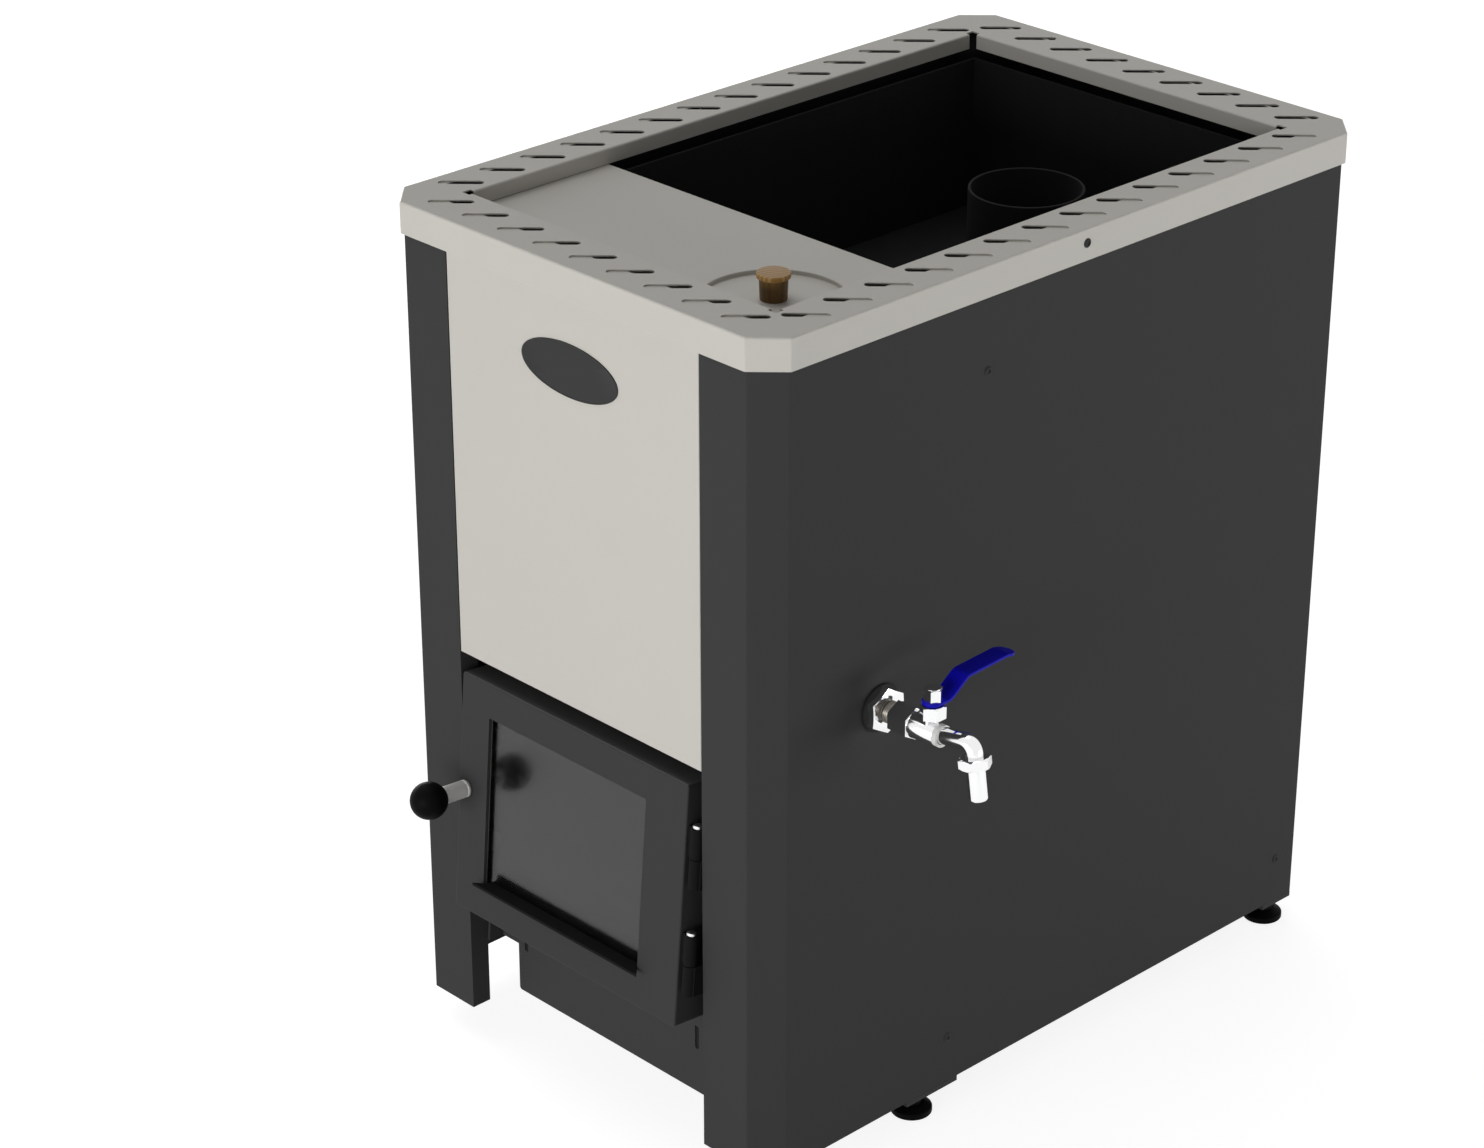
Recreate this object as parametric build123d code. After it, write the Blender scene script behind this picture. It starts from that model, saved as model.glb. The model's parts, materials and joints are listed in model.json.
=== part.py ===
from build123d import *
import os
from math import atan, cos, degrees, pi, sin, sqrt, tan

# Wood-burning sauna stove with a built-in water tank, a tap, an open stone compartment,
# a leaning self-closing door and an ash drawer. Millimetres, +Z up.
# The model is laid out with X across the front (0 on the middle plane), Y from the front
# plane of the top rim towards the back, and Z up from the floor.
# It is exported with its origin under the middle of its bounding box.

# Top rim
rim_width = 500.0
rim_depth = 783.0
rim_chamfer = 27.4
rim_band = 30.3
rim_sheet = 1.5
rim_side_reach = 53.0
rim_front_reach = 61.0
rim_rear_reach = 62.0
rim_skirt = 15.0
rim_relief = 5.0
rim_fold = 2.0
rim_inner_fold = 0.5
slot_length = 42.0
slot_width = 9.0
slot_turn = 45.0
side_slot_pitch = 49.2
side_slot_inset = 28.0
end_slot_pitch = 47.5
front_slot_inset = 33.0
rear_slot_inset = 29.0
end_slot_count = 9
rim_screw_below_top = 13.6

# Casing
casing_overhang = 3.3
casing_height = 819.5
casing_sheet = 1.5
casing_bend = 2.5
panel_fold = 1.2
strip_width = 57.0
strip_return = 21.3
panel_gap = 0.8
panel_sheet = 1.5
panel_return = 15.0
panel_screw_count = 3
panel_above_door = 20.0

# Body of the stove inside the casing
side_air_gap = 48.7
front_air_gap = 54.7
rear_air_gap = 54.5
shell_wall = 3.0
plate_wall = 4.0
shell_below_casing = 24.5
stone_depth = 155.0
shelf_above_frame = 33.0
floor_below_door = 17.0
tank_bay_depth = 168.0
weld_gap = 0.1

# Flue collar
flue_radius = 56.5
flue_wall = 3.0
flue_height = 103.0
flue_from_rear = 133.3

# Water tank and its cover
tank_wall = 2.0
tank_gap = 3.0
cover_drop = 15.3
cover_sheet = 1.5
cover_lip = 9.2
cover_fold = 1.2
cover_front_lap = 21.0
cover_side_lap = 17.5
well_radius = 65.0
well_depth = 4.0
lid_from_side = 51.0
lid_from_front = 47.0
lid_radius = 45.0
lid_sheet = 1.5
lid_round = 0.7
lid_hole_radius = 40.0
lid_ring_radius = 38.0
lid_ring_depth = 6.0
lid_ring_wall = 1.5
rest_gap = 0.3
knob_base_radius = 12.0
knob_top_radius = 14.6
knob_waist_radius = 11.0
knob_height = 34.8
knob_screw_radius = 2.5
knob_screw_depth = 20.0

# Tap
tap_from_tank_bay = 81.4
tap_above_shelf = 34.4
nipple_radius = 10.5
nipple_bore = 7.5
nipple_reach = 37.0
socket_radius = 15.0
socket_length = 16.0
gasket_radius = 23.0
gasket_thickness = 3.0
locknut_flats = 38.0
locknut_thickness = 9.0
thread_gap = 0.1
tap_hex_flats = 27.0
tap_hex_length = 15.0
tap_barrel_radius = 13.0
tap_axis_reach = 63.8
tap_half_length = 24.0
tap_barrel_round = 2.5
tap_hex_lap = 4.0
ball_radius = 10.0
ball_bore = 6.5
ball_gap = 0.4
seat_thickness = 3.0
stem_radius = 4.0
stem_gap = 0.08
ball_slot_half = 2.6
ball_slot_depth = 3.0
tongue_gap = 0.2
neck_radius = 9.0
neck_height = 9.0
bonnet_flats = 20.0
bonnet_top = 22.0
lever_base = 23.5
lever_thickness = 3.0
lever_width = 16.0
lever_rise = 23.0
lever_droop = 3.0
lever_ramp_run = 19.0
lever_nut_room = 0.35
lever_length = 96.0
lever_bend = 10.0
lever_end_round = 7.5
lever_tail = 10.0
lever_nut_flats = 15.5
lever_nut_height = 12.0
cap_end = 1.5
spout_radius = 8.0
spout_bore = 6.0
spout_drop_reach = 119.3
spout_bend = 13.0
spout_insert = 7.0
spout_socket_depth = 8.0
collar_flats = 24.0
collar_height = 9.0
spout_seat = 3.0
spout_tail = 4.0
nut_chamfer_share = 0.35
nozzle_radius = 8.6
nozzle_drop = 44.5
nozzle_bore = 6.0
nozzle_neck_radius = 7.6
nozzle_neck_length = 2.5
nozzle_start_gap = 0.2

# Door, leaning with its lower edge forward
door_left_inset = 1.5
door_top = 371.0
door_bottom = 127.0
door_lean_depth = 20.08
door_front = 3.3
door_plate = 4.0
door_wall = 2.5
door_depth = 40.0
door_corner = 3.0
door_edge_round = 1.8
window_corner = 1.5
window_left_rail = 39.5
window_right_rail = 53.0
window_top_rail = 34.0
window_bottom_rail = 35.0
glass_gasket_thickness = 1.5
glass_lap = 12.0
glass_thickness = 4.0
glass_foot_rise = 14.0
glass_gap = 0.2
rail_thickness = 2.0
clip_spread = 53.0
clip_width = 18.0
clip_sheet = 2.0
clip_offset = 20.0
clip_foot = 9.0
stud_radius = 3.0
stud_length = 31.0
stud_nut_radius = 6.0
stud_nut_height = 6.0
stud_nut_cap = 2.0
stud_nut_round = 2.5

# Door handle and latch
handle_from_edge = 10.5
handle_above_door_bottom = 127.0
shaft_radius = 5.0
shaft_gap = 0.08
bush_radius = 8.0
bush_length = 22.0
sleeve_radius = 8.5
handle_ball_radius = 17.0
handle_ball_reach = 47.0
sleeve_gap = 0.4
shaft_collar_radius = 8.0
shaft_collar_length = 8.0
latch_thickness = 5.0
latch_hub_radius = 7.0
latch_length = 32.0
latch_width = 13.0
latch_gap = 1.0

# Frame that the door closes on
frame_side_gap = 1.2
frame_below_door_top = 2.0
mouth_left_margin = 16.5
mouth_right_margin = 16.0
mouth_top_margin = 13.0
mouth_bottom_margin = 15.0
cheek_drop = 40.5
frame_gap = 0.4
frame_plate = 4.0
frame_sheet = 3.0
latch_slot_gap = 2.4
lower_plate_front = 40.0
lower_plate_sheet = 2.0

# Hinges on a line parallel to the door
hinge_from_frame_edge = 7.0
hinge_from_door_edge = 9.0
upper_hinge_drop = 37.0
lower_hinge_rise = 100.0
hinge_depth = 6.0
knuckle_radius = 6.0
knuckle_height = 30.0
knuckle_gap = 0.5
pin_radius = 3.5
pin_gap = 0.08
pin_head_radius = 4.6
pin_head_height = 3.0
bracket_sheet = 3.0
web_half = 3.0

# Grate, ash drawer and its channel
drawer_side_room = 31.0
drawer_side_lap = 8.0
drawer_below_floor = 6.0
grate_width = 190.0
grate_length = 330.0
grate_thickness = 15.0
grate_front = 130.0
grate_lap = 10.0
grate_bar = 9.0
grate_slot = 9.0
grate_gap = 1.0
channel_wall = 2.0
channel_bottom = 24.0
tray_gap = 3.0
tray_wall = 1.5
tray_length = 520.0
tray_lift = 0.3
tray_below_plate_hole = 4.7
plate_hole_below_drawer_top = 9.0
drawer_bottom = 22.0
drawer_sheet = 2.0
drawer_corner = 3.0
drawer_air_gap = 2.0
air_slot_width = 5.0
air_slot_height = 33.0
air_slot_below_top = 2.0
air_slot_inset = 3.5
drawer_hole_gap = 3.0

# Base bars and levelling feet
casing_lift = 36.0
front_bar_y = 222.0
rear_bar_inset = 34.7
foot_from_side = 26.7
bar_width = 68.0
bar_plate = 5.2
bar_rest_gap = 0.3
bar_rib = 3.0
bar_rib_spacing = 36.0
bar_tab_top = 62.0
bar_tab_width = 30.0
foot_pad_radius = 20.0
foot_pad_height = 10.0
foot_cone_inset = 8.0
foot_cone_drop = 4.0
foot_neck_radius = 9.0
foot_neck_height = 4.0
foot_stem_radius = 6.0
foot_stem_length = 50.0
foot_hole_gap = 0.3
foot_nut_flats = 18.0
foot_nut_height = 8.0

# Screws and stand-offs of the casing
upper_screw_y = 270.7
upper_screw_below_top = 99.6
lower_screw_z = 49.4
screw_radius = 2.5
screw_head_radius = 4.5
screw_head_height = 1.6
screw_head_bevel = 0.8
screw_grip = 6.0
spacer_width = 40.0
spacer_flange = 22.0
spacer_sheet = 3.0

# How close to a plane an edge lies to count as on it
nearness = 0.01

# Worked out from the sizes above
casing_half = rim_width / 2 - casing_overhang
casing_front = casing_overhang
casing_rear = rim_depth - casing_overhang
casing_chamfer = rim_chamfer - (2 - sqrt(2)) * casing_overhang
strip_edge = casing_half - casing_chamfer - strip_width
frame_half_width = strip_edge - frame_side_gap
frame_top = door_top - frame_below_door_top
hinge_x = frame_half_width - hinge_from_frame_edge
hinge_tops = (door_top - upper_hinge_drop, door_bottom + lower_hinge_rise)
door_left = door_left_inset - frame_half_width
door_right = hinge_x - hinge_from_door_edge
handle_x = door_left + handle_from_edge
handle_z = door_bottom + handle_above_door_bottom
window_left = door_left + window_left_rail
window_right = door_right - window_right_rail
window_top = door_top - window_top_rail
window_bottom = door_bottom + window_bottom_rail
mouth_left = door_left + mouth_left_margin
mouth_right = door_right - mouth_right_margin
mouth_top = frame_top - mouth_top_margin
mouth_bottom = door_bottom + mouth_bottom_margin
front_panel_bottom = door_top + panel_above_door
shelf_top = frame_top + shelf_above_frame
firebox_floor_top = door_bottom - floor_below_door
cheek_bottom = firebox_floor_top - cheek_drop
shell_bottom = firebox_floor_top - plate_wall
shell_top = casing_height - shell_below_casing
stone_floor_top = shell_top - stone_depth
upper_screw_z = casing_height - upper_screw_below_top
drawer_half_width = frame_half_width - drawer_side_room
drawer_top = firebox_floor_top - drawer_below_floor
channel_half_width = drawer_half_width - drawer_side_lap
air_slot_x = channel_half_width - air_slot_inset
air_slot_bottom = drawer_top - air_slot_below_top - air_slot_height
lower_plate_hole_top = drawer_top - plate_hole_below_drawer_top
foot_x = casing_half - foot_from_side
rim_top = casing_height + rim_sheet
body_half = casing_half - side_air_gap
body_front = casing_front + front_air_gap
body_rear = casing_rear - rear_air_gap
inner_half = body_half - shell_wall
inner_front = body_front + shell_wall
inner_rear = body_rear - shell_wall
bay_rear = inner_front + tank_bay_depth
bar_y = (front_bar_y, casing_rear - rear_bar_inset)
rim_half_opening = rim_width / 2 - rim_side_reach
rim_opening_front = rim_front_reach
rim_opening_rear = rim_depth - rim_rear_reach
flue_y = inner_rear - flue_from_rear
cover_top = rim_top - cover_drop
lid_x = rim_half_opening - lid_from_side
lid_y = rim_opening_front + lid_from_front
well_floor = cover_top - well_depth
tank_top = well_floor - cover_sheet - rest_gap
tank_half = inner_half - tank_gap
tank_front = inner_front + tank_gap
tank_rear = bay_rear - plate_wall - rest_gap
tank_bottom = shelf_top + rest_gap
tap_x = casing_half + tap_axis_reach
tap_y = inner_front + tap_from_tank_bay
tap_z = shelf_top + tap_above_shelf
collar_top = tap_z - spout_bend - spout_tail + spout_seat
lever_slope = atan(lever_rise / lever_ramp_run)
lever_ramp_start = (lever_nut_flats / 2 / cos(pi / 6) + lever_bend * tan(lever_slope / 2)
                    + lever_nut_room)
lean = atan(door_lean_depth / (door_top - door_bottom))
door_height = (door_top - door_bottom) / cos(lean)
frame_depth = door_depth + frame_gap
latch_depth = frame_depth + frame_plate + latch_gap
glass_front = door_plate + glass_gasket_thickness
glass_back = glass_front + glass_thickness
tray_half_width = channel_half_width - channel_wall - tray_gap
tray_floor = channel_bottom + channel_wall + tray_lift
tray_height = lower_plate_hole_top - tray_below_plate_hole - tray_floor
drawer_front_y = lower_plate_front - drawer_air_gap - drawer_sheet

# Shift from the layout frame to the exported frame
low_x = -rim_width / 2
high_x = casing_half + spout_drop_reach + collar_flats / 2 / cos(pi / 6)
handle_front = door_front - (door_top - handle_z) * tan(lean) - handle_ball_reach * cos(lean)
low_y = handle_front - handle_ball_radius
shift = Vector(-(low_x + high_x) / 2, -(low_y + rim_depth) / 2, casing_lift)


def block(x0, x1, y0, y1, z0, z1):
    """Box between two corners."""
    centre = Pos((x0 + x1) / 2, (y0 + y1) / 2, (z0 + z1) / 2)
    return centre * Box(x1 - x0, y1 - y0, z1 - z0)


def rod(start, direction, radius, length):
    """Cylinder that grows from a point along a direction."""
    plane = Plane(origin=start, z_dir=direction)
    return plane * Cylinder(radius, length, align=(Align.CENTER, Align.CENTER, Align.MIN))


def tube(start, direction, radius, bore, length):
    """Hollow cylinder that grows from a point along a direction."""
    return rod(start, direction, radius, length) - rod(start, direction, bore, length)


def hexagon(start, direction, flats, length, x_dir=None):
    """Hexagonal prism that grows from a point along a direction."""
    plane = Plane(origin=start, z_dir=direction, x_dir=x_dir)
    return extrude(plane * RegularPolygon(flats / 2, 6, major_radius=False), length)


def upright(shape, z0):
    """Shape lifted to a height."""
    return Pos(0, 0, z0) * shape


def edges_at(edges, axis, place):
    """Edges whose middle lies on a plane square to an axis."""
    return edges.filter_by_position(axis, place - nearness, place + nearness)


def octagon(half, y0, y1, corner, radius=0.0):
    """Rectangle with chamfered corners in plan, its vertices rounded if asked."""
    middle = (y0 + y1) / 2
    face = Pos(0, middle) * chamfer(Rectangle(2 * half, y1 - y0).vertices(), corner)
    if radius > 0:
        face = fillet(face.vertices(), radius)
    return face


def at_door(shape):
    """Shape moved from the door's own frame to its leaning place.

    In that frame X is across, Y is the depth behind the door's face and Z is the
    distance up the face from its top edge.
    """
    return Pos(0, door_front, door_top) * Rot(-degrees(lean), 0, 0) * shape


def door_z(height):
    """Distance up the door's face for a height above the casing's lower edge."""
    return (height - door_top) / cos(lean)


def door_face_y(depth, height):
    """Y of a plane parallel to the door, at a depth behind it and at a height."""
    return door_front + depth / cos(lean) - (door_top - height) * tan(lean)


# Casing, rim and panels

def casing_ring():
    """Plan of the whole folded casing as a closed ring of sheet."""
    outer = octagon(casing_half, casing_front, casing_rear, casing_chamfer, casing_bend)
    inner_chamfer = casing_chamfer - (2 - sqrt(2)) * casing_sheet
    inner = octagon(
        casing_half - casing_sheet,
        casing_front + casing_sheet,
        casing_rear - casing_sheet,
        inner_chamfer,
        casing_bend - casing_sheet,
    )
    return outer - inner


def casing_side(side):
    """One side of the casing with its two folded corners and edge returns."""
    edge = min(side * strip_edge, side * rim_width)
    far = max(side * strip_edge, side * rim_width)
    plan = casing_ring() & (
        Pos((edge + far) / 2, rim_depth / 2) * Rectangle(far - edge, 2 * rim_depth)
    )
    fold_x = side * (strip_edge + casing_sheet / 2)
    front_y = casing_front + strip_return / 2
    rear_y = casing_rear - strip_return / 2
    plan += Pos(fold_x, front_y) * Rectangle(casing_sheet, strip_return)
    plan += Pos(fold_x, rear_y) * Rectangle(casing_sheet, strip_return)
    wall = extrude(plan, casing_height)
    for y, z in casing_screw_places():
        wall -= rod((side * (casing_half - 2 * casing_sheet), y, z), (side, 0, 0), screw_radius, 9)
    wall -= rod(
        (side * (casing_half - 2 * casing_sheet), rim_depth / 2, rim_top - rim_screw_below_top),
        (side, 0, 0), screw_radius, 9,
    )
    for z in panel_screw_heights(front_panel_bottom):
        wall -= panel_screw_hole(side, casing_front + panel_return / 2, z)
    for z in panel_screw_heights(0.0):
        wall -= panel_screw_hole(side, casing_rear - panel_return / 2, z)
    return wall


def casing_right():
    """Right side of the casing, with the hole for the tap's nipple."""
    hole = rod(
        (casing_half - 2 * casing_sheet, tap_y, tap_z), (1, 0, 0),
        nipple_radius + shell_wall, 4 * casing_sheet,
    )
    return casing_side(1) - hole


def casing_screw_places():
    """Y and Z of the screws through one side of the casing."""
    lower_y = bar_y[0] + (bar_width - bar_tab_width) / 2
    rear_y = bar_y[1] - (bar_width - bar_tab_width) / 2
    return [(upper_screw_y, upper_screw_z), (lower_y, lower_screw_z), (rear_y, lower_screw_z)]


def panel_screw_heights(bottom):
    """Heights of the screws that hold a panel's side return."""
    span = casing_height - bottom
    return [bottom + span * (i + 0.5) / panel_screw_count for i in range(panel_screw_count)]


def panel_screw_hole(side, y, z):
    """Clearance cut for a panel screw through a strip's return."""
    start = (side * (strip_edge - screw_head_radius), y, z)
    return rod(start, (side, 0, 0), screw_radius, screw_grip + screw_head_radius)


def panel(face_y, inward, bottom, top):
    """Flat panel between the strips, with side and lower returns."""
    half = strip_edge - panel_gap
    y0, y1 = sorted((face_y, face_y + inward * panel_sheet))
    sheet = block(-half, half, y0, y1, bottom, top)
    r0, r1 = sorted((face_y, face_y + inward * panel_return))
    for side in (-1, 1):
        x0, x1 = sorted((side * half, side * (half - panel_sheet)))
        sheet += block(x0, x1, r0, r1, bottom, top)
    sheet += block(-half, half, r0, r1, bottom, bottom + panel_sheet)
    face_edges = edges_at(sheet.edges(), Axis.Y, face_y).sort_by(Axis.Z)
    sheet = fillet(face_edges[:-1], panel_fold)
    for z in panel_screw_heights(bottom):
        for side in (-1, 1):
            sheet -= panel_screw_hole(side, face_y + inward * panel_return / 2, z)
    return sheet


def front_panel():
    """Pale panel in front of the water tank."""
    return panel(casing_front, 1, front_panel_bottom, casing_height)


def back_panel():
    """Panel that closes the casing at the back."""
    return panel(casing_rear, -1, 0.0, casing_height)


def screw(head_at, direction, length):
    """Low round-head screw whose head sits at a point and whose shank runs along a direction."""
    x, y, z = head_at
    dx, dy, dz = direction
    head_start = (
        x - dx * screw_head_height, y - dy * screw_head_height, z - dz * screw_head_height,
    )
    head = rod(head_start, direction, screw_head_radius, screw_head_height)
    outer_edge = head.edges().filter_by(GeomType.CIRCLE).sort_by_distance(head_start)[0]
    head = chamfer(outer_edge, screw_head_bevel)
    return head + rod(head_at, direction, screw_radius - thread_gap, length)


def casing_screws():
    """All the screws of the rim, the casing's sides and the panels' returns."""
    inner = strip_edge - panel_gap - panel_sheet
    shapes = []
    for side in (-1, 1):
        rim_at = (side * rim_width / 2, rim_depth / 2, rim_top - rim_screw_below_top)
        shapes.append(screw(rim_at, (-side, 0, 0), casing_overhang + screw_grip))
        for y, z in casing_screw_places():
            shapes.append(screw((side * casing_half, y, z), (-side, 0, 0), screw_grip))
        for z in panel_screw_heights(front_panel_bottom):
            y = casing_front + panel_return / 2
            shapes.append(screw((side * inner, y, z), (side, 0, 0), screw_grip))
        for z in panel_screw_heights(0.0):
            y = casing_rear - panel_return / 2
            shapes.append(screw((side * inner, y, z), (side, 0, 0), screw_grip))
    return shapes


def casing_spacers():
    """Stand-offs between the stove's body and the casing, one on each side."""
    shapes = []
    y0 = upper_screw_y - spacer_width / 2
    y1 = upper_screw_y + spacer_width / 2
    for side in (-1, 1):
        near = side * (body_half + weld_gap)
        far = side * (casing_half - casing_sheet - weld_gap)
        level = upper_screw_z
        web = block(*sorted((near, far)), y0, y1, level - spacer_sheet, level)
        foot = block(
            *sorted((near, near + side * spacer_sheet)), y0, y1, level - spacer_flange, level,
        )
        head = block(
            *sorted((far, far - side * spacer_sheet)), y0, y1, level - spacer_sheet,
            level + spacer_flange / 2,
        )
        hole = rod(
            (side * casing_half, upper_screw_y, upper_screw_z), (-side, 0, 0),
            screw_radius, 2 * screw_grip,
        )
        shapes.append(web + foot + head - hole)
    return shapes


def slot_places():
    """Centres of the slots in the rim."""
    span = rim_depth - 2 * rim_front_reach
    side_count = int(span // side_slot_pitch) + 1
    start = rim_depth / 2 - (side_count - 1) * side_slot_pitch / 2
    places = []
    for i in range(side_count):
        for side in (-1, 1):
            places.append((side * (rim_width / 2 - side_slot_inset), start + i * side_slot_pitch))
    first = -(end_slot_count - 1) * end_slot_pitch / 2
    for i in range(end_slot_count):
        x = first + i * end_slot_pitch
        places.append((x, front_slot_inset))
        places.append((x, rim_depth - rear_slot_inset))
    return places


def rim_skirts():
    """Down-turned inner edges of the rim, which stop short of the corners."""
    z0 = rim_top - rim_skirt
    x = rim_half_opening
    y0 = rim_opening_front
    y1 = rim_opening_rear
    sheet = rim_sheet
    left = block(-x - sheet, -x, y0 + rim_relief, y1 - rim_relief, z0, rim_top)
    right = block(x, x + sheet, y0 + rim_relief, y1 - rim_relief, z0, rim_top)
    front = block(-x + rim_relief, x - rim_relief, y0 - sheet, y0, z0, rim_top)
    rear = block(-x + rim_relief, x - rim_relief, y1, y1 + sheet, z0, rim_top)
    return left + right + front + rear


def rim_fold_edges(body):
    """Top edges along which the rim's sheet turns down into its four inner skirts."""
    top = edges_at(body.edges(), Axis.Z, rim_top)
    edges = []
    for x in (-rim_half_opening, rim_half_opening):
        edges += edges_at(top.filter_by(Axis.Y), Axis.X, x)
    for y in (rim_opening_front, rim_opening_rear):
        edges += edges_at(top.filter_by(Axis.X), Axis.Y, y)
    return edges


def top_rim():
    """Folded top rim with diagonal air slots and down-turned edges."""
    outline = octagon(rim_width / 2, 0, rim_depth, rim_chamfer, casing_bend)
    hollow_chamfer = rim_chamfer - (2 - sqrt(2)) * rim_sheet
    hollow = octagon(
        rim_width / 2 - rim_sheet, rim_sheet, rim_depth - rim_sheet,
        hollow_chamfer, casing_bend - rim_sheet,
    )
    body = upright(extrude(outline, rim_band), rim_top - rim_band)
    body = fillet(body.faces().sort_by(Axis.Z)[-1].edges(), rim_fold)
    inside = upright(extrude(hollow, rim_band), rim_top - rim_band - rim_sheet)
    body -= fillet(inside.faces().sort_by(Axis.Z)[-1].edges(), rim_inner_fold)
    opening = block(
        -rim_half_opening, rim_half_opening, rim_opening_front, rim_opening_rear,
        rim_top - rim_band, rim_top + 1,
    )
    body -= opening
    cuts = Sketch()
    for x in (-rim_half_opening, rim_half_opening):
        for y in (rim_opening_front, rim_opening_rear):
            cuts += Pos(x, y) * Rectangle(2 * rim_relief, 2 * rim_relief)
    for x, y in slot_places():
        cuts += Pos(x, y) * Rot(0, 0, slot_turn) * SlotOverall(slot_length, slot_width)
    body -= upright(extrude(cuts, 3 * rim_sheet), rim_top - 2 * rim_sheet)
    body += rim_skirts()
    body = fillet(rim_fold_edges(body), rim_fold)
    for side in (-1, 1):
        start = (side * (rim_width / 2 - 2 * rim_sheet), rim_depth / 2, rim_top - rim_screw_below_top)
        body -= rod(start, (side, 0, 0), screw_radius, 9)
    return body


# Body of the stove

def body_shell():
    """Four welded walls round the tank, the stones and the fire."""
    outer = block(-body_half, body_half, body_front, body_rear, shell_bottom, shell_top)
    inner = block(
        -inner_half, inner_half, inner_front, inner_rear, shell_bottom - 1, shell_top + 1,
    )
    mouth = block(
        mouth_left, mouth_right, body_front - 1, inner_front + 1, mouth_bottom, mouth_top,
    )
    tap_hole = rod(
        (inner_half - 1, tap_y, tap_z), (1, 0, 0), socket_radius + thread_gap, shell_wall + 2,
    )
    return outer - inner - mouth - tap_hole


def tank_shelf():
    """Roof of the fire under the tank, turned up behind the tank as a wall."""
    half = inner_half - weld_gap
    y0 = inner_front + weld_gap
    flat = block(-half, half, y0, bay_rear, shelf_top - plate_wall, shelf_top)
    wall = block(-half, half, bay_rear - plate_wall, bay_rear, shelf_top - plate_wall, shell_top)
    return flat + wall


def stone_floor():
    """Roof of the fire under the stones, with the flue hole."""
    half = inner_half - weld_gap
    y0 = bay_rear + weld_gap
    y1 = inner_rear - weld_gap
    sheet = block(-half, half, y0, y1, stone_floor_top - plate_wall, stone_floor_top)
    hole = rod(
        (0, flue_y, stone_floor_top - 2 * plate_wall), (0, 0, 1),
        flue_radius - flue_wall, 4 * plate_wall,
    )
    return sheet - hole


def flue_collar():
    """Pipe stub that takes the chimney."""
    start = (0, flue_y, stone_floor_top + weld_gap)
    return tube(start, (0, 0, 1), flue_radius, flue_radius - flue_wall, flue_height)


def firebox_floor():
    """Floor of the fire, with a stepped opening for the grate."""
    half = inner_half - weld_gap
    sheet = block(
        -half, half, inner_front + weld_gap, inner_rear - weld_gap,
        firebox_floor_top - plate_wall, firebox_floor_top,
    )
    y0 = grate_front + grate_lap
    y1 = grate_front + grate_length - grate_lap
    x = grate_width / 2 - grate_lap
    return sheet - block(-x, x, y0, y1, firebox_floor_top - 2 * plate_wall, firebox_floor_top + 1)


def grate():
    """Cast grate that lies over the opening, with long air slots."""
    z0 = firebox_floor_top + weld_gap
    y1 = grate_front + grate_length
    half = grate_width / 2
    body = block(-half, half, grate_front, y1, z0, z0 + grate_thickness)
    body = fillet(body.edges().filter_by(Axis.Z), grate_bar / 2)
    foot = grate_lap + grate_gap
    lug = block(
        -half + foot, half - foot, grate_front + foot, y1 - foot,
        z0 - plate_wall, z0 + grate_thickness / 2,
    )
    body += lug
    pitch = grate_bar + grate_slot
    count = int((grate_width - 2 * foot - grate_bar) // pitch)
    room = grate_length - 2 * foot - 3 * grate_bar
    run = room / 2
    cuts = Sketch()
    for i in range(count):
        x = (i - (count - 1) / 2) * pitch
        for row in (-1, 1):
            y = grate_front + grate_length / 2 + row * (run + grate_bar) / 2
            cuts += Pos(x, y) * SlotOverall(run, grate_slot, rotation=90)
    return body - upright(extrude(cuts, 3 * grate_thickness), z0 - grate_thickness)


def ash_channel():
    """Trough under the fire in which the ash drawer runs."""
    top = shell_bottom - weld_gap
    y1 = body_rear
    y0 = lower_plate_front + lower_plate_sheet + weld_gap
    half = channel_half_width
    outer = block(-half, half, y0, y1, channel_bottom, top)
    inner = block(
        -half + channel_wall, half - channel_wall, y0 - 1, y1 - channel_wall,
        channel_bottom + channel_wall, top + 1,
    )
    return outer - inner


# Water tank and tap

def water_tank():
    """Open-topped water tank that stands on its shelf."""
    outer = block(-tank_half, tank_half, tank_front, tank_rear, tank_bottom, tank_top)
    wall = tank_wall
    inner = block(
        -tank_half + wall, tank_half - wall, tank_front + wall, tank_rear - wall,
        tank_bottom + wall, tank_top + 1,
    )
    shell = outer - inner
    edges = shell.edges().filter_by(Axis.Z)
    corners = edges.filter_by_position(Axis.X, -tank_half, -tank_half)
    corners += edges.filter_by_position(Axis.X, tank_half, tank_half)
    shell = fillet(corners, wall)
    hole = rod((tank_half - 2 * wall, tap_y, tap_z), (1, 0, 0), socket_radius + weld_gap, 4 * wall)
    return shell - hole


def tank_socket():
    """Threaded socket welded into the tank's wall."""
    start = (tank_half - tank_wall - weld_gap, tap_y, tap_z)
    return tube(start, (1, 0, 0), socket_radius, nipple_radius + thread_gap, socket_length)


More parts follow.
